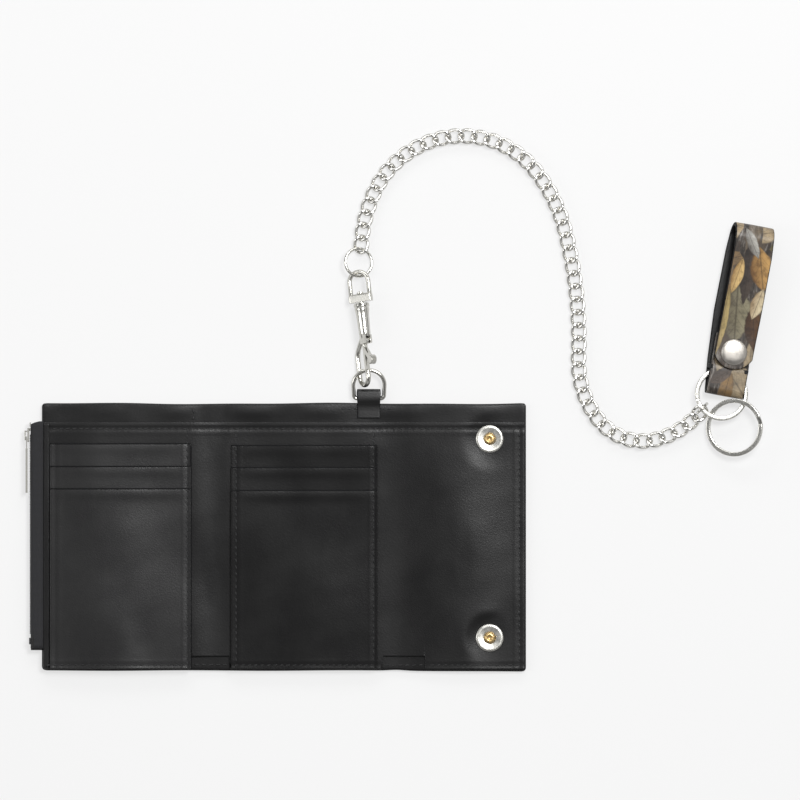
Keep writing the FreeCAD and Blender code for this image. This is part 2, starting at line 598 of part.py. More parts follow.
def build_strap_back():
    """Back layer, top fold, and the tail that turns up round the small ring and is knotted down."""
    lt, t = STRAP_LEATHER_T, STRAP_T
    top_s = STRAP_LENGTH - t - STRAP_FOLD_R
    rise = t + 2 * LOW_FOLD_R
    knots = strap_knots(rise + t)
    layers = ((0, lt), (lt, t))
    for name, (low, high) in zip(("strap_back", "strap_lining_back"), layers):
        outline = [(LOW_FOLD_S, low), (top_s, low), (top_s, high), (LOW_FOLD_S, high)]
        save_strap(name, strap_piece(outline, BACK_SHIFT).cut(knots))
    save_strap("strap_top_fold", fold_band(STRAP_FOLD_R + STRAP_LINING_T, STRAP_FOLD_R + t, top_s,
                                           t + STRAP_FOLD_R, BACK_SHIFT / 2, STRAP_W, True))
    low = fold_band(LOW_FOLD_R + STRAP_LINING_T, LOW_FOLD_R + t, LOW_FOLD_S, t + LOW_FOLD_R,
                    TAIL_SHIFT, TAIL_W, False)
    flat = (t + LAYER_GAP, 2 * t + LAYER_GAP)
    leave, land = TAIL_DROP_S
    tail = strap_piece([(LOW_FOLD_S, rise), (LOW_FOLD_S, rise + t), (leave + 0.3, rise + t),
                        (land + 0.2, flat[1]), (TAIL_END, flat[1]), (TAIL_END, flat[0]),
                        (land - 0.4, flat[0]), (leave - 0.1, rise)], TAIL_SHIFT, TAIL_W)
    save_strap("strap_tail", tail.fuse(low).removeSplitter().cut(knots))
    save_strap("bartack_knots", *knots)
    stud = Part.makeCylinder(STUD_HEAD_R, 0.5, V(0, SNAP_S, flat[1]))
    stud = stud.fuse(Part.makeCylinder(STUD_R, TONGUE_N - flat[1] - LAYER_GAP, V(0, SNAP_S, flat[1])))
    save_strap("strap_snap_stud", stud.removeSplitter())


def build_strap_tongue():
    """The tongue hangs from the front of the top fold and snaps down over the tail."""
    lt, t = STRAP_LEATHER_T, STRAP_T
    hinge_s = STRAP_LENGTH - t - STRAP_FOLD_R - 0.15
    front_n = 2 * (t + STRAP_FOLD_R)
    bend_s = TONGUE_BEND_S
    top = TONGUE_N + t
    outer = [(hinge_s, front_n), (hinge_s, front_n - lt), (bend_s, top - lt), (TONGUE_END, top - lt),
             (TONGUE_END, top), (bend_s, top)]
    inner = [(hinge_s, front_n - lt), (hinge_s, front_n - t), (bend_s, TONGUE_N), (TONGUE_END, TONGUE_N),
             (TONGUE_END, top - lt), (bend_s, top - lt)]
    half = STRAP_W / 2
    keep = Part.makeCylinder(half, 40, V(0, TONGUE_END + half, -10))
    keep = keep.fuse(slab((-STRAP_W, STRAP_W), (TONGUE_END + half, 90), (-10, 30)))
    socket_hole = Part.makeCylinder(SOCKET_R + HOLE_PLAY, 9, V(0, SNAP_S, TONGUE_N - 1))
    save_strap("strap_tongue", strap_piece(outer).common(keep))
    save_strap("strap_lining_tongue", strap_piece(inner).common(keep).cut(socket_hole))
    socket = Part.makeCylinder(SOCKET_R, t - lt, V(0, SNAP_S, TONGUE_N)).fuse(
        Part.makeCylinder(STUD_HEAD_R, 0.8, V(0, SNAP_S, TONGUE_N - 0.8)))
    socket = socket.cut(Part.makeCylinder(STUD_R + 0.2, 9, V(0, SNAP_S, TONGUE_N - 5)))
    save_strap("strap_snap_socket", socket.removeSplitter())
    cap = Part.makeCylinder(CAP_R, CAP_T, V(0, SNAP_S, top))
    save_strap("strap_snap_cap", cap.makeFillet(0.6, [cap.Edges[0]]))


os.makedirs(PARTS, exist_ok=True)
build_shell()
build_inner_lining()
build_card_pockets()
build_coin_pocket()
build_zip()
build_snaps()
build_tab_and_ring()
build_hook()
build_swivel()
build_jump_ring()
build_chain()
build_rings()
build_strap_back()
build_strap_tongue()
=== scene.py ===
import math

import bpy
import numpy as np
from mathutils import Matrix, Vector


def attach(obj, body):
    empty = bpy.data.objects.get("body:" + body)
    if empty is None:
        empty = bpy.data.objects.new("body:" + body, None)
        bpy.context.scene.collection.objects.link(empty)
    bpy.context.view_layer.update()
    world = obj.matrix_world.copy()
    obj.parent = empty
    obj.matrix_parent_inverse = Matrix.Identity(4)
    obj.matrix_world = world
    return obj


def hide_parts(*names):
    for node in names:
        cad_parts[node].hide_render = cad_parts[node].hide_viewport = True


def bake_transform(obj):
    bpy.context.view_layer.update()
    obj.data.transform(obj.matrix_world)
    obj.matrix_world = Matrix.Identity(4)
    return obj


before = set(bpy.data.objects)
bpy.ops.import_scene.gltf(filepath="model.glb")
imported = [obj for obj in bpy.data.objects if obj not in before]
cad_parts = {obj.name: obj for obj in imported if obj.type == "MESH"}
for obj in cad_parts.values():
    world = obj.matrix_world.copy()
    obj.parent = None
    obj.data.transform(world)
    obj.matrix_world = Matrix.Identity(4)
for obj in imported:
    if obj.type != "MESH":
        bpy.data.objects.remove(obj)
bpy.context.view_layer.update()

MM = 0.001

# Lengths are in millimetres and turn into metres in mesh_piece(). The axes are the frame's.

# ---- driving dimensions
FOLD_X = 41.8                  # each fold line's distance from the middle
LEFT_EDGE, RIGHT_EDGE = -116.2, 96.8
TOP, BOTTOM = 58.8, -58.8
LINING_TOP, LINING_BOTTOM = 50.6, -58.2
SPINE_BOTTOM = -52.5
LEFT_SPINE = (-50.4, -33.6)
RIGHT_SPINE = (31.7, 52.4)
SHELL_Z = (0.12, 1.85)
INNER_Z = (2.3, 2.8)
LEFT_INNER_Z = (3.05, 3.55)
POCKET_T = 0.5
POCKET_STEP = 0.6
LEFT_MOUTHS = (40.9, 30.9, 21.1)
MIDDLE_MOUTHS = (40.1, 30.4, 20.3)
LEFT_POCKETS = (-112.7, -50.7)
MIDDLE_POCKETS = (-33.1, 31.5)
STITCH_PITCH = 2.9
SNAP_X = 80.8
SNAP_YS = (43.1, -44.4)
SNAP_RISE = 0.45               # the flap's arch lifts its snaps this far
SOCKET_X = SNAP_X - 4 * FOLD_X


# ---- node helpers
class Shader:
    """A material under construction. Each method adds one node and gives back its output."""

    def __init__(self, name):
        self.material = bpy.data.materials.new(name)
        self.material.use_nodes = True
        self.tree = self.material.node_tree
        self.principled = self.tree.nodes["Principled BSDF"]

    def node(self, kind, inputs=(), **settings):
        node = self.tree.nodes.new("ShaderNode" + kind)
        for key, value in settings.items():
            setattr(node, key, value)
        for key, value in dict(inputs).items():
            self.put(node.inputs[key], value)
        return node

    def put(self, socket, value):
        if isinstance(value, bpy.types.NodeSocket):
            self.tree.links.new(value, socket)
        elif isinstance(value, (tuple, list)) and len(value) == 3 and socket.type == "RGBA":
            socket.default_value = (*value, 1.0)
        else:
            socket.default_value = value

    def uv(self):
        return self.node("TexCoord").outputs["UV"]

    def place(self):
        return self.node("TexCoord").outputs["Object"]

    def mapped(self, source, scale=(1, 1, 1), turn=0.0, move=(0, 0, 0)):
        inputs = {"Vector": source, "Scale": scale, "Rotation": (0, 0, turn), "Location": move}
        return self.node("Mapping", inputs).outputs["Vector"]

    def noise(self, source, scale, detail=3.0, rough=0.5, distortion=0.0, out="Fac"):
        inputs = {"Vector": source, "Scale": scale, "Detail": detail, "Roughness": rough,
                  "Distortion": distortion}
        return self.node("TexNoise", inputs).outputs[out]

    def cells(self, source, scale, feature="F1", randomness=1.0, out="Distance"):
        node = self.node("TexVoronoi", feature=feature)
        self.put(node.inputs["Vector"], source)
        node.inputs["Scale"].default_value = scale
        node.inputs["Randomness"].default_value = randomness
        return node.outputs[out]

    def math(self, operation, a, b=0.0, c=None, clamp=False):
        node = self.node("Math", operation=operation, use_clamp=clamp)
        self.put(node.inputs[0], a)
        self.put(node.inputs[1], b)
        if c is not None:
            self.put(node.inputs[2], c)
        return node.outputs[0]

    def mix(self, factor, a, b, blend="MIX"):
        node = self.node("Mix", data_type="RGBA", blend_type=blend)
        self.put(node.inputs["Factor"], factor)
        self.put(node.inputs[6], a)
        self.put(node.inputs[7], b)
        return node.outputs[2]

    def ramp(self, factor, *stops, smooth=False):
        node = self.node("ValToRGB", {"Fac": factor})
        ramp = node.color_ramp
        ramp.interpolation = "EASE" if smooth else "LINEAR"
        while len(ramp.elements) < len(stops):
            ramp.elements.new(0.5)
        for element, (at, colour) in zip(ramp.elements, stops):
            element.position = at
            element.color = (*colour, 1.0) if len(colour) == 3 else colour
        return node.outputs["Color"]

    def span(self, value, low, high, to_low=0.0, to_high=1.0):
        inputs = {0: value, 1: low, 2: high, 3: to_low, 4: to_high}
        return self.node("MapRange", inputs, clamp=True).outputs[0]

    def bump(self, height, strength, distance, normal=None):
        inputs = {"Height": height, "Strength": strength, "Distance": distance}
        if normal is not None:
            inputs["Normal"] = normal
        return self.node("Bump", inputs).outputs["Normal"]

    def finish(self, **inputs):
        for key, value in inputs.items():
            self.put(self.principled.inputs[key.replace("_", " ")], value)
        return self.material


def black_leather(name, tone=0.0045, rough=0.33, grain=1.0, uv=True, gloss=0.32):
    """Smooth-finished black leather: fine pebbles, faint streaks, scuffs and a cloudy gloss."""
    s = Shader(name)
    at = s.uv() if uv else s.place()
    pebble = s.cells(at, 1700, "SMOOTH_F1")
    fine = s.noise(at, 2600, 4, 0.6)
    cloud = s.noise(at, 34, 4, 0.6)
    streak = s.noise(s.mapped(at, (2.4, 0.5, 1)), 130, 4, 0.6)
    scuff = s.noise(s.mapped(at, (1.0, 9.0, 1), turn=0.5), 240, 2, 0.5)
    tint = s.mix(cloud, (tone * 0.75, tone * 0.73, tone * 0.82), (tone * 1.25, tone * 1.22, tone * 1.2))
    tint = s.mix(s.span(streak, 0.5, 0.8, 0.0, 0.3), tint, (tone * 2.0, tone * 1.95, tone * 1.9))
    tint = s.mix(s.span(scuff, 0.70, 0.78, 0.0, 0.25), tint, (tone * 4.0, tone * 3.9, tone * 3.8))
    broad = s.span(cloud, 0.3, 0.7, rough - 0.05, rough + 0.07)
    roughness = s.math("ADD", broad, s.span(fine, 0.3, 0.7, -0.04, 0.04))
    height = s.math("ADD", s.math("MULTIPLY", pebble, 0.8), s.math("MULTIPLY", fine, 0.4))
    swell = s.noise(s.mapped(at, (1.0, 0.7, 1)), 26, 0.5, 0.3, 0.6)
    normal = s.bump(swell, 1.0, 0.0016)
    normal = s.bump(height, 0.30 * grain, 0.00010, normal)
    return s.finish(Base_Color=tint, Roughness=roughness, Normal=normal, Specular_IOR_Level=gloss)


def edge_dye_and_gap_shade(name="edge_dye_and_painted_gap_shade"):
    """Matt dye on a cut edge, a little uneven. The same near-black is painted shade on the beads laid along
    the pocket mouths and pocket sides, where it stands in for the dark gaps.
    """
    s = Shader(name)
    lump = s.noise(s.place(), 900, 3, 0.6)
    tint = s.mix(lump, (0.0025, 0.0025, 0.003), (0.007, 0.007, 0.0075))
    normal = s.bump(lump, 0.3, 0.0002)
    return s.finish(Base_Color=tint, Roughness=0.62, Normal=normal, Specular_IOR_Level=0.12)


LEAF_TONES = ((0.0, (0.055, 0.042, 0.032)), (0.16, (0.25, 0.145, 0.05)), (0.32, (0.085, 0.070, 0.055)),
              (0.48, (0.36, 0.28, 0.17)), (0.62, (0.13, 0.065, 0.025)), (0.76, (0.19, 0.18, 0.16)),
              (0.90, (0.12, 0.10, 0.045)))
# Leaves of the print on the belt loop's front: across, along, turn, length, width, light tone, dark tone.
FRONT_LEAVES = (
    (-2.3, 149.0, 1.45, 27.0, 15.0, (0.20, 0.18, 0.115), (0.065, 0.052, 0.035)),
    (-0.8, 130.0, 1.52, 30.0, 7.0, (0.050, 0.036, 0.028), (0.018, 0.013, 0.011)),
    (6.6, 154.0, 1.35, 21.0, 9.0, (0.085, 0.042, 0.018), (0.030, 0.015, 0.008)),
    (-7.7, 153.0, 1.60, 32.0, 5.0, (0.33, 0.25, 0.105), (0.13, 0.09, 0.035)),
    (5.0, 127.5, 1.30, 21.0, 10.5, (0.40, 0.235, 0.080), (0.125, 0.062, 0.020)),
    (6.2, 143.0, 1.75, 15.0, 6.4, (0.52, 0.44, 0.29), (0.24, 0.17, 0.095)),
    (-5.0, 132.0, 1.72, 17.0, 5.4, (0.52, 0.36, 0.15), (0.20, 0.115, 0.040)),
    (-1.0, 117.0, 1.0, 15.0, 5.0, (0.33, 0.32, 0.29), (0.10, 0.09, 0.08)),
    (4.0, 8.0, 0.5, 13.0, 7.0, (0.46, 0.40, 0.35), (0.20, 0.15, 0.13)),
    (-3.5, 19.0, 2.4, 13.0, 6.0, (0.085, 0.062, 0.048), (0.030, 0.022, 0.018)),
)


def leaf_marks(s, along, across, grain):
    """(mask, shade) of a leaf whose tips lie at along = -1 and 1 and whose sides reach across = -1 and 1."""
    belly = s.math("SUBTRACT", 1.0, s.math("MULTIPLY", along, along))
    side = s.math("ABSOLUTE", across)
    ragged = s.math("MULTIPLY", s.math("SUBTRACT", grain, 0.5), 0.55)
    inside = s.math("ADD", s.math("SUBTRACT", belly, side), ragged)
    mask = s.span(inside, 0.0, 0.14)
    rib = s.span(side, 0.02, 0.08, 0.9, 0.0)
    comb = s.math("SINE", s.math("MULTIPLY", s.math("SUBTRACT", along, s.math("MULTIPLY", side, 0.75)), 19.0))
    vein = s.span(comb, 0.84, 1.0, 0.0, 0.45)
    rim = s.span(inside, 0.0, 0.22, 0.85, 0.0)
    shade = s.math("MAXIMUM", s.math("MAXIMUM", rib, vein), rim)
    return mask, shade


def leaf_litter(s, at):
    """A made-up woodland print: bark streaks under twigs, and two layers of scattered leaves."""
    grain = s.noise(at, 260, 5, 0.65)
    bark = s.noise(s.mapped(at, (3.2, 0.7, 1)), 170, 6, 0.7, 0.6)
    ground = s.ramp(bark, (0.34, (0.008, 0.006, 0.005)), (0.50, (0.040, 0.032, 0.026)),
                    (0.62, (0.15, 0.135, 0.12)), (0.76, (0.34, 0.325, 0.30)))
    twig = s.noise(s.mapped(at, (1.0, 0.16, 1), turn=0.35), 210, 2, 0.4, 1.2)
    thin = s.span(s.math("ABSOLUTE", s.math("SUBTRACT", twig, 0.5)), 0.006, 0.014, 1.0, 0.0)
    colour = s.mix(s.math("MULTIPLY", thin, 0.7), ground, (0.055, 0.035, 0.022))
    for size, shift, slim in ((46.0, 0.31, 0.44), (64.0, 0.77, 0.36)):
        grid = s.mapped(at, (size, size * 0.8, 1), move=(shift, shift * 2.3, 0))
        cell = s.node("TexVoronoi", feature="F1")
        s.put(cell.inputs["Vector"], grid)
        cell.inputs["Scale"].default_value = 1.0
        from_centre = s.node("VectorMath", operation="SUBTRACT")
        s.put(from_centre.inputs[0], grid)
        s.put(from_centre.inputs[1], cell.outputs["Position"])
        chance = s.node("SeparateColor", {"Color": cell.outputs["Color"]})
        turn = s.node("VectorRotate", rotation_type="Z_AXIS")
        s.put(turn.inputs["Vector"], from_centre.outputs[0])
        s.put(turn.inputs["Angle"], s.math("MULTIPLY", chance.outputs[0], 6.28))
        part = s.node("SeparateXYZ", {"Vector": turn.outputs[0]})
        along = s.math("DIVIDE", part.outputs["X"], 0.60)
        across = s.math("DIVIDE", part.outputs["Y"], 0.60 * slim)
        mask, shade = leaf_marks(s, along, across, grain)
        tone = s.ramp(chance.outputs[1], *LEAF_TONES)
        tone = s.mix(s.span(grain, 0.35, 0.75, 0.05, 0.85), tone, (0.05, 0.04, 0.03))
        tone = s.mix(shade, tone, s.mix(0.55, tone, (0.02, 0.014, 0.010)))
        wanted = s.span(chance.outputs[2], 0.18, 0.22)
        colour = s.mix(s.math("MULTIPLY", mask, wanted), colour, tone)
    return colour, grain


def printed_leather(name, leaves=()):
    """Leather with the woodland print. leaves adds chosen ones on top."""
    s = Shader(name)
    at = s.uv()
    colour, grain = leaf_litter(s, at)
    for x, y, turn, length, width, light, dark in leaves:
        spot = s.node("Mapping", {"Vector": at, "Location": (x * MM, y * MM, 0), "Rotation": (0, 0, turn),
                                  "Scale": (length * MM / 2, width * MM / 2, 1)}, vector_type="TEXTURE")
        part = s.node("SeparateXYZ", {"Vector": spot.outputs[0]})
        mask, shade = leaf_marks(s, part.outputs["X"], part.outputs["Y"], grain)
        run = s.span(s.math("ADD", part.outputs["Y"], s.math("MULTIPLY", grain, 1.8)), 0.1, 1.7)
        tone = s.mix(run, light, dark)
        tone = s.mix(s.span(grain, 0.50, 0.72, 0.0, 0.6), tone, tuple(c * 0.35 for c in dark))
        tone = s.mix(shade, tone, s.mix(0.6, tone, (0.02, 0.013, 0.008)))
        colour = s.mix(mask, colour, tone)
    pebble = s.cells(at, 1300, "SMOOTH_F1")
    wear = s.noise(at, 55, 3, 0.6)
    normal = s.bump(s.math("ADD", pebble, s.math("MULTIPLY", grain, 0.3)), 0.35, 0.00010)
    return s.finish(Base_Color=colour, Roughness=s.span(wear, 0.3, 0.7, 0.34, 0.50), Normal=normal,
                    Specular_IOR_Level=0.35)


def thread_material(name="black_thread", tone=0.008):
    s = Shader(name)
    twist = s.node("TexWave", {"Vector": s.place(), "Scale": 900.0, "Distortion": 1.0}).outputs["Fac"]
    tint = s.mix(twist, (tone * 0.3, tone * 0.3, tone * 0.35), (tone * 1.6, tone * 1.6, tone * 1.7))
    return s.finish(Base_Color=tint, Roughness=0.6, Normal=s.bump(twist, 0.5, 0.0001))


def nickel(name="polished_nickel", tone=(0.60, 0.59, 0.55), rough=0.17, scratch=0.1):
    """Polished plating with soft wear: a mottled gloss and hairline scratches."""
    s = Shader(name)
    at = s.place()
    mottle = s.noise(at, 420, 4, 0.6)
    hair = s.noise(s.mapped(at, (1.0, 7.0, 1.0), turn=0.6), 900, 2, 0.5)
    broad = s.span(mottle, 0.3, 0.7, rough - 0.04, rough + 0.06)
    roughness = s.math("ADD", broad, s.span(hair, 0.6, 0.75, 0.0, scratch))
    tint = s.mix(s.span(mottle, 0.35, 0.7), tone, tuple(c * 0.9 for c in tone))
    return s.finish(Base_Color=tint, Metallic=1.0, Roughness=roughness, Normal=s.bump(hair, 0.05, 0.00005))


def satin_metal(name, tone, rough=0.3, speckle=0.35):
    """Stamped plate with a fine speckle."""
    s = Shader(name)
    at = s.place()
    fleck = s.noise(at, 2400, 3, 0.7)
    cloud = s.noise(at, 500, 2, 0.5)
    tint = s.mix(s.span(fleck, 0.35, 0.7, 0.0, speckle), tone, tuple(c * 0.55 for c in tone))
    roughness = s.span(cloud, 0.3, 0.7, rough - 0.06, rough + 0.1)
    return s.finish(Base_Color=tint, Metallic=1.0, Roughness=roughness, Normal=s.bump(fleck, 0.25, 0.00006))


def woven_tape(name="zip_tape"):
    s = Shader(name)
    at = s.place()
    rib = s.node("TexWave", {"Vector": s.mapped(at, (0.2, 1.0, 0.2)), "Scale": 620.0, "Distortion": 0.4},
                 bands_direction="Y").outputs["Fac"]
    fuzz = s.noise(at, 3200, 2, 0.6)
    tint = s.mix(s.math("MULTIPLY", rib, fuzz), (0.003, 0.003, 0.004), (0.020, 0.020, 0.024))
    return s.finish(Base_Color=tint, Roughness=0.85, Normal=s.bump(s.math("ADD", rib, fuzz), 0.5, 0.0001),
                    Sheen_Weight=0.1)


def nylon(name="zip_teeth"):
    s = Shader(name)
    fuzz = s.noise(s.place(), 1500, 2, 0.5)
    tint = s.mix(fuzz, (0.006, 0.006, 0.007), (0.016, 0.016, 0.018))
    return s.finish(Base_Color=tint, Roughness=0.35, Normal=s.bump(fuzz, 0.1, 0.00005))


def pale_floor():
    s = Shader("pale_floor")
    cloud = s.noise(s.place(), 3.0, 2, 0.5)
    tint = s.mix(cloud, (0.195, 0.195, 0.195), (0.205, 0.205, 0.205))
    return s.finish(Base_Color=tint, Roughness=0.9, Specular_IOR_Level=0.1,
                    Emission_Color=(1, 1, 1), Emission_Strength=0.655)


# ---- mesh helpers
def mesh_piece(name, vertices, faces, materials, indices=None, uvs=None, smooth=True):
    """An object from millimetre vertices. uvs holds one pair for each vertex."""
    mesh = bpy.data.meshes.new(name)
    corners = [tuple(float(c) * MM for c in v) for v in vertices]
    mesh.from_pydata(corners, [], [tuple(int(i) for i in f) for f in faces])
    for material in materials:
        mesh.materials.append(material)
    if indices is not None:
        mesh.polygons.foreach_set("material_index", np.asarray(indices, dtype=np.int32))
    if uvs is not None:
        layer = mesh.uv_layers.new(name="flat")
        loops = np.empty(len(mesh.loops), dtype=np.int32)
        mesh.loops.foreach_get("vertex_index", loops)
        layer.data.foreach_set("uv", (np.asarray(uvs, dtype=float) * MM)[loops].astype(np.float32).ravel())
    mesh.polygons.foreach_set("use_smooth", [smooth] * len(mesh.polygons))
    mesh.validate()
    piece = bpy.data.objects.new(name, mesh)
    bpy.context.scene.collection.objects.link(piece)
    return piece


def grid_lines(a, b, step, fine=(0.0, 0.1, 0.25, 0.5, 0.9)):
    """Grid lines from a to b, close together at both ends."""
    ends = np.array(fine[:-1])
    middle = np.linspace(a + fine[-1], b - fine[-1], max(2, int((b - a) / step)))
    return np.concatenate([a + ends, middle, b - ends[::-1]])


def sheet(name, x, y, z, materials, step=1.2, roll=0.42, lift=None, low=None, high=None, extra_x=(),
          open_side=None):
    """A closed slab of leather over a rectangle, with rounded edges.

    lift(x, y) raises both faces, low(x) and high(x) move the two long edges, and z may be a pair of
    functions of x. open_side is the x of an end that carries on in another piece.
    """
    xs = grid_lines(*x, step)
    xs = np.unique(np.round(np.concatenate([xs, np.array(extra_x, dtype=float)]), 4))
    shares = (grid_lines(*y, step) - y[0]) / (y[1] - y[0])
    gx, gv = np.meshgrid(xs, shares, indexing="ij")
    bottom = low(gx) if low else np.full_like(gx, y[0])
    top = high(gx) if high else np.full_like(gx, y[1])
    gy = bottom + gv * (top - bottom)
    z0 = z[0](gx) if callable(z[0]) else np.full_like(gx, z[0])
    z1 = z[1](gx) if callable(z[1]) else np.full_like(gx, z[1])
    edge = np.minimum(gy - bottom, top - gy)
    if open_side != x[0]:
        edge = np.minimum(edge, gx - x[0])
    if open_side != x[1]:
        edge = np.minimum(edge, x[1] - gx)
    radius = roll * (z1 - z0)
    inside = np.clip(radius - edge, 0, None)
    drop = radius - np.sqrt(np.clip(radius ** 2 - inside ** 2, 0, None))
    raised = lift(gx, gy) if lift else 0.0
    upper = np.stack([gx, gy, z1 - drop + raised], -1).reshape(-1, 3)
    under = np.stack([gx, gy, z0 + drop + raised], -1).reshape(-1, 3)
    nx, ny = gx.shape
    count = nx * ny
    i, j = np.meshgrid(np.arange(nx - 1), np.arange(ny - 1), indexing="ij")
    a = (i * ny + j).ravel()
    quads = np.stack([a, a + ny, a + ny + 1, a + 1], -1)
    faces = [quads, quads[:, ::-1] + count]
    rim = ([k * ny for k in range(nx)], [k * ny + ny - 1 for k in range(nx)][::-1],
           list(range(ny))[::-1], [(nx - 1) * ny + k for k in range(ny)])
    skip = {x[0]: 2, x[1]: 3}.get(open_side)
    for number, line in enumerate(rim):
        if number != skip:
            faces.append(np.array([[q + count, r + count, r, q] for q, r in zip(line[:-1], line[1:])]))
    sides = sum(len(f) for f in faces[1:])
    flat = np.concatenate([np.stack([gx, gy], -1).reshape(-1, 2)] * 2)
    indices = np.concatenate([np.zeros(len(quads)), np.full(sides, len(materials) - 1)])
    return mesh_piece(name, np.concatenate([upper, under]), np.concatenate(faces), materials, indices, flat)


def merged(parts):
    """Joins (vertices, faces) lists into one pair."""
    vertices, faces, start = [], [], 0
    for v, f in parts:
        vertices.append(np.asarray(v, dtype=float))
        faces += [tuple(i + start for i in face) for face in f]
        start += len(v)
    return np.concatenate(vertices), faces


def tube(points, radius, sides=10, closed=False, up=(0, 0, 1)):
    """Vertices and faces of a round bar along points. radius is one value or one for each point."""
    p = np.asarray(points, dtype=float)
    n = len(p)
    radii = np.broadcast_to(np.asarray(radius, dtype=float), (n,))
    if closed:
        along = np.roll(p, -1, 0) - np.roll(p, 1, 0)
    else:
        along = np.gradient(p, axis=0)
    along /= np.linalg.norm(along, axis=1)[:, None]
    side = np.cross(along, np.asarray(up, dtype=float))
    side /= np.linalg.norm(side, axis=1)[:, None] + 1e-12
    other = np.cross(side, along)
    angles = np.linspace(0, 2 * np.pi, sides, endpoint=False)
    ring = side[:, None] * np.cos(angles)[None, :, None] + other[:, None] * np.sin(angles)[None, :, None]
    vertices = (p[:, None] + ring * radii[:, None, None]).reshape(-1, 3)
    faces = []
    for i in range(n if closed else n - 1):
        k = (i + 1) % n
        for j in range(sides):
            m = (j + 1) % sides
            faces.append((i * sides + j, i * sides + m, k * sides + m, k * sides + j))
    if not closed:
        faces.append(tuple(range(sides))[::-1])
        faces.append(tuple((n - 1) * sides + j for j in range(sides)))
    return vertices, faces


def lathe(profile, sides=48):
    """Vertices and faces turned about the local Y axis from (radius, y) points, closed at the axis."""
    vertices, faces, rings = [], [], []
    for r, y in profile:
        if r < 1e-6:
            rings.append([len(vertices)])
            vertices.append((0, y, 0))
        else:
            rings.append(list(range(len(vertices), len(vertices) + sides)))
            vertices += [(r * math.cos(2 * math.pi * k / sides), y, r * math.sin(2 * math.pi * k / sides))
                         for k in range(sides)]
    for a, b in zip(rings, rings[1:]):
        for k in range(sides):
            m = (k + 1) % sides
            if len(a) == 1 and len(b) > 1:
                faces.append((a[0], b[m], b[k]))
            elif len(b) == 1 and len(a) > 1:
                faces.append((a[k], a[m], b[0]))
            elif len(a) > 1:
                faces.append((a[k], a[m], b[m], b[k]))
    return np.array(vertices, dtype=float), faces


def moved(part, matrix):
    """Turns and moves (vertices, faces) by a 3x4 or 4x4 matrix in millimetres."""
    vertices, faces = part
    m = np.array(matrix)
    return vertices @ m[:3, :3].T + m[:3, 3], faces


# ---- how the leather lies
def waves(x, y, seed, length, count=5):
    """Gentle, repeatable unevenness between about -1 and 1."""
    rng = np.random.default_rng(seed)
    total = 0.0
    for _ in range(count):
        angle = rng.uniform(0, 2 * np.pi)
        size = length * rng.uniform(0.7, 1.6)
        phase = rng.uniform(0, 2 * np.pi)
        total = total + np.sin(2 * np.pi * (x * np.cos(angle) + y * np.sin(angle)) / size + phase)
    return total / count * 1.4


def bell(value, centre, width):
    return np.exp(-((value - centre) / width) ** 2)


def smooth_step(value, a, b):
    t = np.clip((value - a) / (b - a), 0, 1)
    return t * t * (3 - 2 * t)


def wallet_lift(x, y):
    """How far the leather rises from flat: arched panels, hollows where it folds, dimples at the snaps."""
    left = 1.5 * bell(x, -84.0, 21.0) * (1 - ((y + 20.0) / 74.0) ** 2)
    flap = 2.2 * smooth_step(x, 34.0, 82.0) * (1 - smooth_step(x, 64.0, 99.0)) * (1 - ((y + 6.0) / 90.0) ** 2)
    middle = 0.15 * bell(x, 0.0, 25.0)
    rise = 0.08 + left + flap + middle
    rise = rise + 0.10 * waves(x, y, 3, 46.0) + 0.035 * waves(x, y, 5, 15.0)
    rise = rise - 0.10 * bell(x, -FOLD_X, 5.0) - 0.10 * bell(x, FOLD_X, 6.0)
    strip = bell(y, 55.5, 3.4) * (0.20 + 0.30 * waves(x, y * 0.4, 9, 24.0))
    rise = rise + strip
    for snap_y, strength in zip(SNAP_YS, (0.4, 1.0)):
        distance = np.hypot(x - SNAP_X, y - snap_y)
        rise = SNAP_RISE + (rise - SNAP_RISE) * smooth_step(distance, 3.0, 15.0)
        crease = bell(distance, 11.0, 2.4) * smooth_step(-(x - SNAP_X) + 0.6 * (y - snap_y), 0.0, 9.0)
        rise = rise + strength * 0.26 * crease
    return np.clip(rise, 0.0, 1.7)


def shell_lift(x, y):
    """The shell lies flat round the two snap sockets, under the coin pocket."""
    rise = wallet_lift(x, y)
    for snap_y in SNAP_YS:
        rise = rise * smooth_step(np.hypot(x - SOCKET_X, y - snap_y), 5.0, 16.0)
    return rise


def seam_dip(distance, along):
    """A stitched seam draws the leather down and puckers it a little at each stitch."""
    pucker = 0.75 + 0.25 * np.cos(2 * np.pi * along / STITCH_PITCH)
    return 0.26 * bell(distance, 0.0, 0.6) * pucker - 0.10 * bell(np.abs(distance), 1.5, 0.6)


def stitches(name, runs, height, body=None, blend=None, radius=0.27, share=0.72, slant=0.14):
    """Thread stitches along straight (x0, y0, x1, y1) runs; height(x, y) is the leather's surface."""
    parts = []
    for x0, y0, x1, y1 in runs:
        length = math.hypot(x1 - x0, y1 - y0)
        count = max(1, round(length / STITCH_PITCH))
        ux, uy = (x1 - x0) / length, (y1 - y0) / length
        pitch = length / count
        half = pitch * share / 2
        for k in range(count):
            centre = (k + 0.5) * pitch
            points, radii = [], []
            for t in np.linspace(-1, 1, 7):
                x = x0 + ux * (centre + t * half) - uy * slant * t * half
                y = y0 + uy * (centre + t * half) + ux * slant * t * half
                z = float(height(np.array(x), np.array(y))) + 0.13 - 0.42 * t ** 4
                points.append((x, y, z))
                radii.append(radius * (1 - 0.45 * t ** 4))
            parts.append(tube(points, radii, 7))
    piece = mesh_piece(name, *merged(parts), [THREAD])
    if body:
        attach(piece, body)
    if blend:
        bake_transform(piece)
    return piece


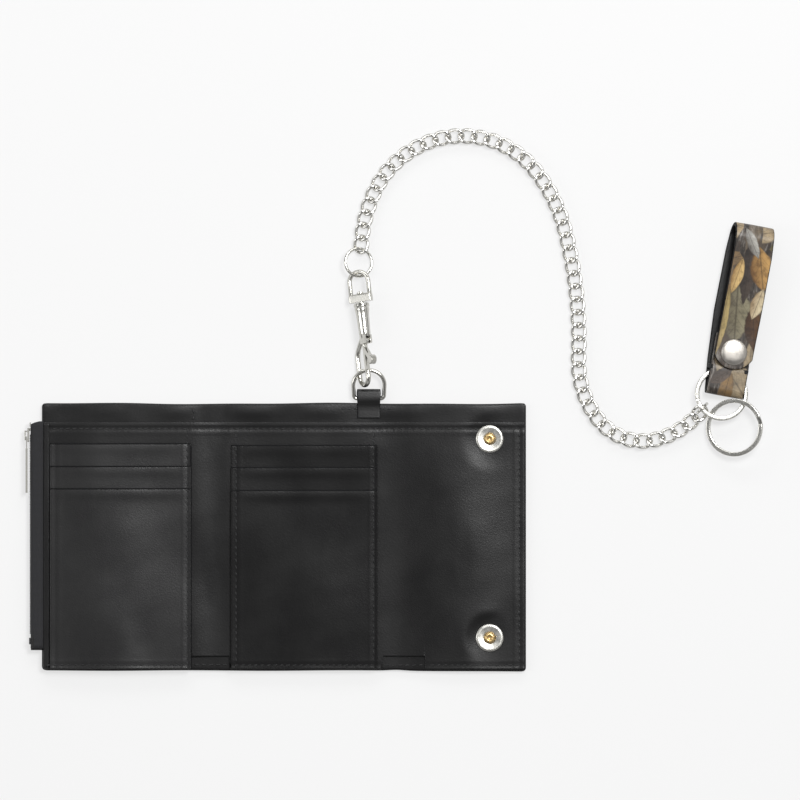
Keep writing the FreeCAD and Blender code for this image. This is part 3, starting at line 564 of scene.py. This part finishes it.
# ---- camera, light, floor
def build_stage():
    """The camera looks straight down, and the frame's 800 pixels span 352 mm."""
    camera_data = bpy.data.cameras.new("camera")
    camera_data.type = "ORTHO"
    camera_data.ortho_scale = 0.352
    camera_data.clip_end = 10
    camera = bpy.data.objects.new("camera", camera_data)
    camera.location = (0.04136, 0.06028, 1.2)
    bpy.context.scene.collection.objects.link(camera)
    bpy.context.scene.camera = camera

    reach, below = 3000, -0.3
    corners = [(x * reach, y * reach, below) for x, y in ((-1, -1), (1, -1), (1, 1), (-1, 1))]
    floor = mesh_piece("floor", corners, [(0, 1, 2, 3)], [pale_floor()])

    lights = (
        ("key", (0.46, 0.52, 1.35), 0.5, 0.5, 19.0),
        ("top", (0.0, 1.1, 0.65), 1.2, 0.35, 5.0),
        ("fill", (-0.95, 0.1, 0.75), 0.4, 0.9, 3.0),
    )
    for name, at, width, height, power in lights:
        data = bpy.data.lights.new(name, "AREA")
        data.shape = "RECTANGLE"
        data.size, data.size_y = width, height
        data.energy = power
        light = bpy.data.objects.new(name, data)
        light.location = at
        light.rotation_euler = (Vector((0.04, 0.05, 0)) - Vector(at)).to_track_quat("-Z", "Y").to_euler()
        bpy.context.scene.collection.objects.link(light)
    build_world()
    bpy.context.scene.view_settings.view_transform = "Standard"


def build_world():
    """Soft rings of light: a small bright patch overhead, a dark band, a bright band, a dark horizon."""
    world = bpy.data.worlds.new("studio")
    bpy.context.scene.world = world
    world.use_nodes = True
    tree = world.node_tree
    coordinate = tree.nodes.new("ShaderNodeTexCoord")
    split = tree.nodes.new("ShaderNodeSeparateXYZ")
    tree.links.new(coordinate.outputs["Generated"], split.inputs[0])
    ramp = tree.nodes.new("ShaderNodeValToRGB")
    tree.links.new(split.outputs["Z"], ramp.inputs["Fac"])
    stops = ((0.0, 0.05), (0.14, 0.05), (0.26, 0.75), (0.58, 0.80), (0.70, 0.12), (0.80, 0.18), (0.94, 0.18),
             (0.985, 0.60))
    while len(ramp.color_ramp.elements) < len(stops):
        ramp.color_ramp.elements.new(0.5)
    for element, (position, value) in zip(ramp.color_ramp.elements, stops):
        element.position = position
        element.color = (value, value, value, 1)
    side = tree.nodes.new("ShaderNodeMath")
    side.operation = "MULTIPLY_ADD"
    tree.links.new(split.outputs["Y"], side.inputs[0])
    side.inputs[1].default_value = 0.35
    side.inputs[2].default_value = 1.0
    background = tree.nodes["Background"]
    tree.links.new(ramp.outputs["Color"], background.inputs["Color"])
    tree.links.new(side.outputs[0], background.inputs["Strength"])


# ---- the wallet
NOTCHES = (LEFT_SPINE[0], LEFT_SPINE[1], RIGHT_SPINE[0] + 2, RIGHT_SPINE[1])
NOTCH = 0.15                   # half the width over which a notch's side drops


def fold_low(x):
    """The lower edge of the inner lining: cut shorter over both folds."""
    def past(at):
        return smooth_step(x, at - NOTCH, at + NOTCH)
    left = past(NOTCHES[0]) - past(NOTCHES[1])
    right = past(NOTCHES[2]) - past(NOTCHES[3])
    return LINING_BOTTOM + (SPINE_BOTTOM - LINING_BOTTOM) * np.clip(left + right, 0, 1)


def shell_corner(x, radius):
    """How far a shell edge draws in towards its corner."""
    near = np.minimum(x - LEFT_EDGE, RIGHT_EDGE - x)
    inside = np.clip(radius - near, 0, radius)
    return radius - np.sqrt(np.clip(radius ** 2 - inside ** 2, 0, None))


def shell_high(x):
    return TOP - shell_corner(x, 1.6) + 0.22 * np.sin(x / 17.0 + 1.0) + 0.12 * np.sin(x / 7.3)


def shell_low(x):
    sag = -0.5 * smooth_step(x, 34, 96) + 0.35 * bell(x, 40, 5)
    return BOTTOM + shell_corner(x, 1.8) + sag + 0.12 * np.sin(x / 11.0)


def inner_z(level):
    """The inner lining's height: it climbs over the coin pocket on the left panel."""
    def height(x):
        return INNER_Z[level] + (LEFT_INNER_Z[level] - INNER_Z[level]) * (1 - smooth_step(x, -50.0, -36.0))
    return height


def inner_top(x, y):
    """The top face of the inner lining, with its seams drawn in."""
    return inner_z(1)(x) + inner_lift(x, y)


def inner_lift(x, y):
    rise = wallet_lift(x, y)
    rise = rise - seam_dip(y - 47.7, x)
    rise = rise - seam_dip(x - 93.9, y) * (y < 48)
    return rise - 0.5 * seam_dip(y + 56.4, x)


LEFT_BLEND = ("left_panel", "wallet_middle", (LEFT_SPINE[0] * MM, 0, 0), (LEFT_SPINE[1] * MM, 0, 0))
RIGHT_BLEND = ("wallet_middle", "flap", (31.8 * MM, 0, 0), (52.2 * MM, 0, 0))


def build_shell():
    left_nodes = ("outer_leather_left", "shell_lining_left", "outer_leather_middle", "shell_lining_middle")
    spans = (("left", (LEFT_EDGE, 0.0), LEFT_BLEND, left_nodes),
             ("right", (0.0, RIGHT_EDGE), RIGHT_BLEND, ("outer_leather_flap", "shell_lining_flap")))
    for side, x, blend, nodes in spans:
        piece = sheet("shell_" + side, x, (BOTTOM, TOP), SHELL_Z, [LINING, SHELL_LEATHER], lift=shell_lift,
                      low=shell_low, high=shell_high, open_side=0.0, roll=0.45)
        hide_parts(*nodes)
        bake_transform(piece)


def build_inner_lining():
    spans = (("left", (LEFT_EDGE + 0.5, 0.0), LEFT_BLEND, ("inner_lining_left", "inner_lining_middle")),
             ("right", (0.0, RIGHT_EDGE - 0.5), RIGHT_BLEND, ("inner_lining_flap",)))
    notches = [e + d for e in NOTCHES for d in (-NOTCH, NOTCH)]
    for side, x, blend, nodes in spans:
        cuts = [n for n in notches if x[0] < n < x[1]]
        piece = sheet("inner_lining_" + side, x, (LINING_BOTTOM, LINING_TOP), (inner_z(0), inner_z(1)),
                      [LINING], lift=inner_lift, low=fold_low, extra_x=cuts, open_side=0.0, step=1.0)
        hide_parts(*nodes)
        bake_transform(piece)


def pocket_lift(x_span, mouth, index):
    """A pocket swells a little under its mouth and is drawn down at its sewn edges."""
    middle = (x_span[0] + x_span[1]) / 2
    half = (x_span[1] - x_span[0]) / 2

    def lift(x, y):
        across = np.clip(1 - np.abs((x - middle) / (half - 1.5)) ** 6, 0, 1)
        swell = (0.16 + 0.05 * index) * across * bell(y, mouth - 1.6, 2.6)
        rise = wallet_lift(x, y) + swell
        rise = rise - 0.9 * seam_dip(x - (x_span[1] - 1.5), y) - 0.5 * seam_dip(x - (x_span[0] + 2.3), y)
        return rise - 0.6 * seam_dip(y + 56.4, x)
    return lift


def build_pockets():
    left_base, middle_base = LEFT_INNER_Z[1] + 0.08, INNER_Z[1] + 0.08
    # The left pockets take the copy of the pocket leather painted lighter, the middle pockets the copy
    # painted darker.
    stacks = (("left", LEFT_POCKETS, LEFT_MOUTHS, left_base, "left_panel", LEFT_POCKET_LEATHER_PAINTED_LIGHTER),
              ("middle", MIDDLE_POCKETS, MIDDLE_MOUTHS, middle_base, "wallet_middle", MIDDLE_POCKET_LEATHER_PAINTED_DARKER))
    for side, x, mouths, base, body, leather in stacks:
        for i, mouth in enumerate(mouths):
            z = base + i * POCKET_STEP
            piece = sheet("card_pocket_%s_%d" % (side, i + 1), x, (LINING_BOTTOM + 0.3, mouth),
                          (z, z + POCKET_T), [leather], lift=pocket_lift(x, mouth, i), step=1.0, roll=0.48)
            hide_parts("card_pocket_%s_%d" % (side, i + 1))
            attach(piece, body)
            # Each mouth gets a near-black bead: painted shade standing in for the dark gap along the pocket's
            # edge.
            lift = pocket_lift(x, mouth, i)
            edge = [(u, mouth + 0.12, z + POCKET_T - 0.16 + float(lift(u, mouth)))
                    for u in np.arange(x[0] + 0.2, x[1] - 0.1, 0.8)]
            bead = mesh_piece("pocket_mouth_%s_%d" % (side, i + 1), *tube(edge, 0.34, 10), [EDGE_DYE_AND_GAP_SHADE])
            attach(bead, body)
    low = LEFT_INNER_Z[1] + 0.05
    binding = sheet("pocket_edge_binding", (LEFT_EDGE + 0.7, LEFT_POCKETS[0] - 0.35),
                    (LINING_BOTTOM + 0.3, 49.8), (low, low + 0.7), [LINING], lift=wallet_lift, step=0.8,
                    roll=0.49)
    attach(binding, "left_panel")


def build_stitching():
    stack_top = 2 * POCKET_STEP + POCKET_T + 0.05

    def on_left(x, y):
        return LEFT_INNER_Z[1] + wallet_lift(x, y) + stack_height(y, LEFT_MOUTHS)

    def on_middle(x, y):
        return INNER_Z[1] + wallet_lift(x, y) + stack_height(y, MIDDLE_MOUTHS)

    def on_shell(x, y):
        return SHELL_Z[1] + shell_lift(x, y) - 0.02

    def stack_height(y, mouths):
        layers = sum(1.0 * (y < m) for m in mouths)
        return np.where(layers > 0, 0.05 + (layers - 1) * POCKET_STEP + POCKET_T, 0.0) - 0.12

    left_x = LEFT_POCKETS[1] - 1.5
    stitches("stitches_left_side", [(left_x, 48.5, left_x, -57.3)], on_left, "left_panel")
    stitches("stitches_left_bottom", [(LEFT_EDGE + 1.5, -56.4, left_x - 1, -56.4)],
             lambda x, y: LEFT_INNER_Z[1] + wallet_lift(x, y) + stack_top - 0.1, "left_panel")
    sides = (MIDDLE_POCKETS[0] + 2.3, MIDDLE_POCKETS[1] - 1.7)
    stitches("stitches_middle_sides", [(x, 46.0, x, -55.3) for x in sides], on_middle, "wallet_middle")
    stitches("stitches_middle_bottom", [(MIDDLE_POCKETS[0] + 1.0, -56.4, MIDDLE_POCKETS[1] - 1.0, -56.4)],
             lambda x, y: INNER_Z[1] + wallet_lift(x, y) + stack_top - 0.1, "wallet_middle")
    stitches("stitches_top_left", [(-112.0, 47.7, 0.0, 47.7)], inner_top, blend=LEFT_BLEND)
    stitches("stitches_top_right", [(0.0, 47.7, 93.9, 47.7)], inner_top, blend=RIGHT_BLEND)
    stitches("stitches_flap", [(93.9, 46.4, 93.9, -55.0), (54.0, -56.4, 94.0, -56.4)], inner_top, "flap")
    stitches("stitches_fold_left", [(LEFT_SPINE[0] + 0.6, -56.2, LEFT_SPINE[1] - 0.4, -56.2),
                                    (-49.6, 50.8, -49.6, 57.0)], on_shell, blend=LEFT_BLEND)
    stitches("stitches_fold_right", [(RIGHT_SPINE[0] + 2.4, -56.4, RIGHT_SPINE[1] - 0.5, -56.4)], on_shell,
             blend=RIGHT_BLEND)
    stitches("stitches_tab", [(15.0, 56.4, 38.0, 56.4), (23.5, 53.0, 32.0, 53.0)], on_shell, "wallet_middle")


def slot_line(name, x, y, z, body, radius=0.3):
    """A near-black bead along y at the side of a layer: partly the dyed cut edge, partly painted shade for
    the dark gap beside it.
    """
    points = [(x, v, z + float(wallet_lift(x, v))) for v in np.arange(y[0], y[1], 1.0)]
    bead = mesh_piece(name, *tube(points, radius, 8), [EDGE_DYE_AND_GAP_SHADE])
    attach(bead, body)


def build_side_edges():
    y, z = (LINING_BOTTOM + 0.4, 41.0), LEFT_INNER_Z[1]
    # Near-black beads at the pocket stack's two sides paint the shade of the gaps there.
    slot_line("edge_left_pockets", LEFT_POCKETS[1] - 0.05, y, z + 0.45, "left_panel", 0.42)
    slot_line("edge_left_binding", LEFT_POCKETS[0] - 0.2, y, z + 0.35, "left_panel", 0.32)


# ---- coin pocket and zip
def build_coin_pocket():
    for name, z in (("back", 2.0), ("front", 2.7)):
        piece = sheet("coin_pocket_cloth_" + name, (LEFT_EDGE + 0.5, LEFT_SPINE[0]), (-57.6, 50.4),
                      (z, z + 0.28), [CLOTH], lift=wallet_lift, step=2.5)
        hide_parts("coin_pocket_" + name)
        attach(piece, "left_panel")


def tape_strip(x_z, y, thickness, round_top=0.0):
    """A tape bent along y from (x, z) points; the far corner may be rounded."""
    path = np.array(x_z, dtype=float)
    lengths = np.concatenate([[0], np.cumsum(np.hypot(*np.diff(path, axis=0).T))])
    along = np.gradient(path, axis=0)
    along /= np.linalg.norm(along, axis=1)[:, None]
    normal = np.stack([-along[:, 1], along[:, 0]], -1) * thickness / 2
    loop = np.concatenate([path + normal, (path - normal)[::-1]])
    reach = np.concatenate([lengths, lengths[::-1]])
    shares = np.linspace(0, 1, 60)
    vertices = []
    for share in shares:
        for (x, z), r in zip(loop, reach):
            end = y[1] - round_top * (r / lengths[-1]) ** 2.5
            vertices.append((x, y[0] + share * (end - y[0]), z))
    n = len(loop)
    faces = [tuple(range(n)), tuple(range((len(shares) - 1) * n, len(shares) * n))[::-1]]
    for i in range(len(shares) - 1):
        for k in range(n):
            m = (k + 1) % n
            faces.append((i * n + k, (i + 1) * n + k, (i + 1) * n + m, i * n + m))
    return np.array(vertices), faces


def build_zip():
    middle = 2.75
    for name, side in (("upper", 1), ("lower", -1)):
        shape = [(-115.6, 1.52), (-117.4, 1.55), (-119.4, 1.52), (-120.3, 1.38), (-120.8, 1.05),
                 (-120.95, 0.75)]
        points = [(x, middle + side * h) for x, h in shape]
        piece = mesh_piece("zip_tape_woven_" + name, *tape_strip(points, (-49.0, 51.0), 0.55, 1.6), [TAPE])
        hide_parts("zip_tape_" + name)
        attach(piece, "left_panel")
    teeth = []
    pitch = 1.45
    for side in (-1, 1):
        y = -42.5 + (pitch / 2 if side > 0 else 0)
        while y < 45.2:
            points = [(-120.3, y, middle + side * 1.0), (-121.15, y, middle + side * 0.75),
                      (-121.45, y + 0.25, middle + side * 0.1), (-121.15, y + 0.5, middle + side * 0.7),
                      (-120.3, y + 0.5, middle + side * 1.0)]
            teeth.append(tube(points, 0.24, 6, up=(0, 1, 0.2)))
            y += pitch
    piece = mesh_piece("zip_coil_teeth", *merged(teeth), [TEETH])
    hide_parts("zip_coils")
    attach(piece, "left_panel")
    tab = sheet("zip_tape_end", (-121.1, -115.9), (-49.8, -43.0), (1.25, 4.5), [TAB_LEATHER], step=0.6,
                roll=0.3)
    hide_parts("zip_end_tab")
    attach(tab, "left_panel")
    bar = [(-121.5, y, 4.35) for y in np.linspace(-47.2, -44.4, 5)]
    tack = mesh_piece("zip_end_tack", *tube(bar, 0.35, 8), [THREAD])
    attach(tack, "left_panel")


# ---- snaps
# Outlines of the turned snap parts, as (radius, height) points.
SNAP_DISC = ((0, 2.95), (2.35, 2.95), (2.6, 3.12), (3.0, 3.22), (4.0, 3.30), (4.6, 3.42), (5.2, 3.50),
             (5.75, 3.42), (6.08, 3.18), (6.15, 2.85), (6.0, 2.6))
SNAP_POST = ((0, 4.05), (0.55, 4.08), (0.85, 4.30), (1.05, 4.58), (1.45, 4.66), (1.95, 4.52), (2.2, 4.15),
             (2.1, 3.7), (1.85, 3.35), (1.9, 3.0), (2.3, 2.9))
SNAP_CAP = ((0, -0.42), (2.5, -0.38), (4.4, -0.24), (5.6, -0.02), (6.1, 0.3), (6.0, 0.6), (5.0, 0.7))
SNAP_SOCKET = ((2.05, 1.3), (2.0, 0.5), (2.25, 0.12), (2.7, 0.02), (3.4, 0.12), (4.2, 0.16), (5.1, 0.06),
               (5.8, 0.12), (6.1, 0.4), (6.1, 1.0), (5.4, 1.35), (2.05, 1.3))


def build_snaps():
    for k, y in enumerate(SNAP_YS):
        upright = Matrix.Rotation(math.pi / 2, 4, "X")
        on_flap = Matrix.Translation((SNAP_X, y, SNAP_RISE)) @ upright
        on_left = Matrix.Translation((SOCKET_X, y, 0)) @ upright
        for name, profile, material, place, body in (
                ("disc", SNAP_DISC, SATIN, on_flap, "flap"),
                ("post", SNAP_POST, BRASS, on_flap, "flap"),
                ("cap", SNAP_CAP, CAP_SATIN, on_flap, "flap"),
                ("socket", SNAP_SOCKET, SATIN, on_left, "left_panel")):
            piece = mesh_piece("snap_%s_%d" % (name, k + 1), *moved(lathe(profile, 64), place), [material])
            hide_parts("snap_%ss" % name)
            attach(piece, body)


# ---- bent straps
def soften(path, times=3):
    """Cuts the corners of a line of (s, n) points."""
    p = np.asarray(path, dtype=float)
    for _ in range(times):
        q = 0.75 * p[:-1] + 0.25 * p[1:]
        r = 0.25 * p[:-1] + 0.75 * p[1:]
        p = np.concatenate([p[:1], np.stack([q, r], 1).reshape(-1, 2), p[-1:]])
    return p


def evenly(path, step):
    """The same line in even steps, and each point's distance along it."""
    lengths = np.concatenate([[0], np.cumsum(np.hypot(*np.diff(path, axis=0).T))])
    at = np.linspace(0, lengths[-1], int(lengths[-1] / step) + 2)
    return np.stack([np.interp(at, lengths, path[:, k]) for k in (0, 1)], -1), at


def arc(s, n, radius, start, end, count=24):
    angles = np.radians(np.linspace(start, end, count))
    return [(s + radius * math.cos(a), n + radius * math.sin(a)) for a in angles]


def ribbon(name, path, at, half_width, shift, thickness, materials, place, crown=0.12, corner=0.34):
    """A strap bent along (s, n) points, leather outside and lining inside, with dyed edges.

    half_width and shift hold a value for each point. The outside is on the right of the way along.
    """
    along = np.gradient(path, axis=0)
    along /= np.linalg.norm(along, axis=1)[:, None]
    outward = np.stack([along[:, 1], -along[:, 0]], -1)
    section = [(q, 0.0, 1, 1.0) for q in np.linspace(-1, 1, 15)]
    section += [(1, math.cos(a), 1, math.sin(a)) for a in (1.18, 0.79, 0.39, 0.0)]
    section += [(1, math.cos(a), -1, -math.sin(a)) for a in (0.0, 0.39, 0.79, 1.18)]
    section += [(q, 0.0, -1, -1.0) for q in np.linspace(1, -1, 15)]
    section += [(-1, -math.cos(a), -1, -math.sin(a)) for a in (1.18, 0.79, 0.39, 0.0)]
    section += [(-1, -math.cos(a), 1, math.sin(a)) for a in (0.0, 0.39, 0.79, 1.18)]
    n = len(section)
    vertices, uvs = [], []
    for i in range(len(path)):
        r = min(corner, half_width[i] * 0.6)
        for q, ra, sign, rb in section:
            across = q * (half_width[i] - r) + ra * r
            off = sign * (thickness / 2 - r) + rb * r
            off += crown * (1 - (across / max(half_width[i], 1e-6)) ** 2)
            s, m = path[i] + outward[i] * off
            vertices.append((across + shift[i], s, m))
            uvs.append((across + shift[i], at[i]))
    faces, indices = [], []
    for i in range(len(path) - 1):
        for k in range(n):
            m = (k + 1) % n
            faces.append((i * n + k, (i + 1) * n + k, (i + 1) * n + m, i * n + m))
            indices.append(0 if k < 14 else 2 if 22 < k < 37 else 1)
    faces.append(tuple(range(n)))
    faces.append(tuple(range((len(path) - 1) * n, len(path) * n))[::-1])
    indices += [1, 1]
    vertices, faces = moved((np.array(vertices), faces), place)
    return mesh_piece(name, vertices, faces, materials, indices, uvs)


def turned_place(origin, *turns):
    place = Matrix.Translation(origin)
    for axis, degrees in turns:
        place = place @ Matrix.Rotation(math.radians(degrees), 4, axis)
    return place


BELT_PLACE = turned_place((184.1, 63.3, 1.62), ("Z", -10.3), ("Y", 7.5))
STRAP_HALF = 9.5


def build_belt_loop():
    path = [(26.0, 2.5), (14.5, 2.6), (11.8, 4.9), (8.0, 5.0), (4.0, 5.0)]
    path += arc(1.6, 2.9, 2.1, 90, 270)
    path += [(6.0, 0.8), (30.0, 0.75), (55.0, 0.8)]
    path += arc(69.15, 5.85, 5.05, -90, 90)
    path += [(60.0, 10.0), (46.0, 8.7), (30.0, 7.1), (22.0, 6.9), (10.9, 6.9)]
    line, at = evenly(soften(path), 0.6)
    total = at[-1]
    tip = total - at
    half = np.interp(at, [0, 24, 34, 44, 100, total], [8.6, 8.5, 8.5, 9.5, 9.5, 9.5])
    rounded = np.sqrt(np.clip(STRAP_HALF ** 2 - np.clip(STRAP_HALF - tip, 0, None) ** 2, 0.04, None))
    half = np.minimum(half, rounded)
    half = np.minimum(half, 7.6 + np.sqrt(np.clip(at * 1.6, 0, 1)))
    shift = np.interp(at, [0, 30, 44, 65, 92, 101, 112, 122, 150, total],
                      [-0.5, -0.5, -1.7, -2.7, -2.3, -1.7, -0.6, 0.1, 0.3, 0.0])
    materials = [STRAP_PRINT, EDGE_DYE_AND_GAP_SHADE, LINING]
    cut = int(np.argmin(np.abs(at - 111.0)))
    main = ribbon("belt_strap_back", *(v[:cut + 1] for v in (line, at, half, shift)), 1.6, materials,
                  BELT_PLACE)
    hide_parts("strap_back", "strap_lining_back", "strap_top_fold", "strap_tail")
    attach(main, "belt_back")
    front = ribbon("belt_strap_front", *(v[cut - 1:] for v in (line, at, half, shift)), 1.6, materials,
                   BELT_PLACE)
    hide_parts("strap_tongue", "strap_lining_tongue")
    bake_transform(front)

    knots = []
    for x, lean in ((-9.1, 1), (7.5, -1)):
        for k in range(4):
            s = 10.1 + 0.42 * k
            loop = [(x + lean * 1.1, s, 5.75), (x, s + 0.1, 6.05), (x - lean * 0.55, s, 4.2),
                    (x - lean * 0.5, s, 1.6), (x, s, 0.2), (x + lean * 1.0, s - 0.1, 0.1)]
            knots.append(tube(loop, 0.27, 7, up=(0, 1, 0)))
    piece = mesh_piece("bartack_threads", *moved(merged(knots), BELT_PLACE), [THREAD])
    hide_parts("bartack_knots")
    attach(piece, "belt_back")


def build_tab():
    path = [(52.3, 2.35), (58.0, 2.45), (59.6, 3.4), (61.4, 3.6), (63.4, 3.45)]
    path += arc(63.5, 2.2, 1.28, 75, -75, 10)
    path += [(62.6, 0.92), (60.4, 0.95), (59.0, 1.3), (58.0, 1.85), (52.3, 1.75)]
    line, at = evenly(soften(path, 2), 0.4)
    half = np.interp(line[:, 0], [52, 58.5, 61.0, 63.2, 65.2], [5.0, 5.0, 5.15, 5.35, 5.1])
    place = Matrix.Translation((27.6, 0, 0))
    piece = ribbon("ring_tab_leather", line[::-1], at, half[::-1], np.full(len(at), 0.0), 0.7,
                   [TAB_LEATHER, EDGE_DYE_AND_GAP_SHADE, TAB_LEATHER], place, crown=0.05, corner=0.25)
    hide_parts("ring_tab")
    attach(piece, "wallet_middle")


HOOK_PLACE = turned_place((24.3, 103.1, 5.18), ("Z", 6.5), ("X", -8.0), ("Y", -60.0))


def build_thumb_knurl():
    """Ridges round the gate's thumb disc."""
    sides = 26
    vertices, faces = [], []
    levels = ((1.55, -1.3), (1.95, -1.05), (1.95, 1.05), (1.55, 1.3))
    for r, z in levels:
        for k in range(sides * 4):
            ridge = 0.12 if k % 4 in (0, 1) else -0.02
            a = 2 * math.pi * k / (sides * 4)
            vertices.append((4.0 + (r + ridge) * math.cos(a), -26.0 + (r + ridge) * math.sin(a), z))
    n = sides * 4
    for i in range(len(levels) - 1):
        for k in range(n):
            m = (k + 1) % n
            faces.append((i * n + k, i * n + m, (i + 1) * n + m, (i + 1) * n + k))
    faces.append(tuple(range(n))[::-1])
    faces.append(tuple(range((len(levels) - 1) * n, len(levels) * n)))
    vertices, faces = moved((np.array(vertices), faces), HOOK_PLACE)
    piece = mesh_piece("gate_thumb_knurl", vertices, faces, [NICKEL], smooth=False)
    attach(piece, "gate")


def build_split_rings():
    """Flat wire wound twice, with its two ends either side of the step."""
    rings = (("small_split_ring", (182.8, 62.9, 4.8), 10.8, 7.9, "small_ring", 200.0),
             ("key_ring", (188.48, 48.15, 5.18), 11.8, -12.5, "key_ring_body", 15.0))
    half_w, half_t, corner = 0.95, 0.5, 0.36
    section = []
    for quarter, (cx, cz) in enumerate(((1, 1), (-1, 1), (-1, -1), (1, -1))):
        for a in np.radians(np.linspace(0, 90, 5) + 90 * quarter):
            section.append((cx * (half_w - corner) + corner * math.cos(a),
                            cz * (half_t - corner) + corner * math.sin(a)))
    n = len(section)
    for node, centre, radius, tilt, body, start in rings:
        place = turned_place(centre, ("Y", tilt))
        turns = np.linspace(9.0, 711.0, 420)
        vertices, faces = [], []
        for degrees in turns:
            a = math.radians(degrees + start)
            height = -0.525 + 1.05 * float(smooth_step(degrees, 351.0, 369.0))
            for r, z in section:
                vertices.append(((radius + r) * math.cos(a), (radius + r) * math.sin(a), height + z))
        for i in range(len(turns) - 1):
            for k in range(n):
                m = (k + 1) % n
                faces.append((i * n + k, (i + 1) * n + k, (i + 1) * n + m, i * n + m))
        faces.append(tuple(range(n)))
        faces.append(tuple(range((len(turns) - 1) * n, len(turns) * n))[::-1])
        piece = mesh_piece(node + "_wire", *moved((np.array(vertices), faces), place), [RING_NICKEL])
        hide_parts(node)
        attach(piece, body)


BELT_CAP = ((0, 1.02), (2.0, 0.99), (3.6, 0.88), (4.8, 0.68), (5.5, 0.42), (5.82, 0.12), (5.8, -0.05),
            (5.0, -0.12))


def build_belt_snap():
    place = BELT_PLACE @ Matrix.Translation((0, 18.4, 7.7)) @ Matrix.Rotation(math.pi / 2, 4, "X")
    piece = mesh_piece("belt_snap_cap", *moved(lathe(BELT_CAP, 72), place), [CAP_SATIN])
    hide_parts("strap_snap_cap")
    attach(piece, "belt_tongue")


def soften_edges(node, width, angle=32.0):
    """Rounds the hard edges of a CAD metal part."""
    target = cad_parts[node]
    weld = target.modifiers.new("weld", "WELD")
    weld.merge_threshold = 1e-6
    bevel = target.modifiers.new("round", "BEVEL")
    bevel.width = width * MM
    bevel.segments = 3
    bevel.limit_method = "ANGLE"
    bevel.angle_limit = math.radians(angle)
    bevel.use_clamp_overlap = True


# ---- build
LINING = black_leather("lining_leather_black", 0.0045, 0.34, gloss=0.25)
# One pocket leather in two copies that paint light: the left copy has a lighter tone and more gloss for the
# brighter-lit left panel, the middle copy a darker tone and less gloss for the dimmer middle panel.
LEFT_POCKET_LEATHER_PAINTED_LIGHTER = black_leather("pocket_leather_left_painted_lighter", 0.008, 0.31, gloss=0.38)
MIDDLE_POCKET_LEATHER_PAINTED_DARKER = black_leather("pocket_leather_middle_painted_darker", 0.004, 0.31, gloss=0.20)
THREAD = thread_material()
NICKEL = nickel()
RING_NICKEL = nickel("ring_nickel", (0.70, 0.69, 0.65), 0.24, 0.08)
CHAIN_NICKEL = nickel("chain_nickel", (0.74, 0.73, 0.70), 0.13, 0.06)
SATIN = satin_metal("snap_nickel_satin", (0.62, 0.61, 0.57), 0.30, 0.2)
CAP_SATIN = satin_metal("cap_nickel_satin", (0.46, 0.435, 0.40), 0.36, 0.05)
BRASS = satin_metal("snap_brass_satin", (0.62, 0.44, 0.20), 0.32, 0.4)
TAPE = woven_tape()
TEETH = nylon()
EDGE_DYE_AND_GAP_SHADE = edge_dye_and_gap_shade()
CLOTH = woven_tape("coin_pocket_cloth")
SHELL_LEATHER = printed_leather("shell_leather_printed")
STRAP_PRINT = printed_leather("strap_leather_printed", FRONT_LEAVES)
TAB_LEATHER = black_leather("tab_leather_black", 0.007, 0.36, uv=False)

for build in (build_stage, build_shell, build_inner_lining, build_pockets, build_side_edges, build_stitching,
              build_coin_pocket, build_zip, build_snaps, build_belt_loop, build_tab, build_thumb_knurl,
              build_split_rings, build_belt_snap):
    build()
for node, width in (("hook_gate", 0.3), ("swivel_eye", 0.12), ("zip_slider", 0.18), ("zip_pull", 0.15),
                    ("hook_body", 0.12), ("zip_top_stop", 0.12)):
    soften_edges(node, width)

# CAD solids that are shown as they are.
KEPT = dict.fromkeys(("zip_slider", "zip_pull", "zip_top_stop", "d_ring", "hook_body", "hook_gate",
                      "gate_pin", "gate_spring", "swivel_eye", "swivel_rivet", "jump_ring",
                      "chain_end_link"), NICKEL)
KEPT.update(dict.fromkeys(("strap_snap_socket", "strap_snap_stud"), SATIN))
KEPT.update(("chain_run_%02d" % run, CHAIN_NICKEL) for run in range(1, 11))
for node, material in KEPT.items():
    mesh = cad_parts[node].data
    mesh.materials.clear()
    mesh.materials.append(material)
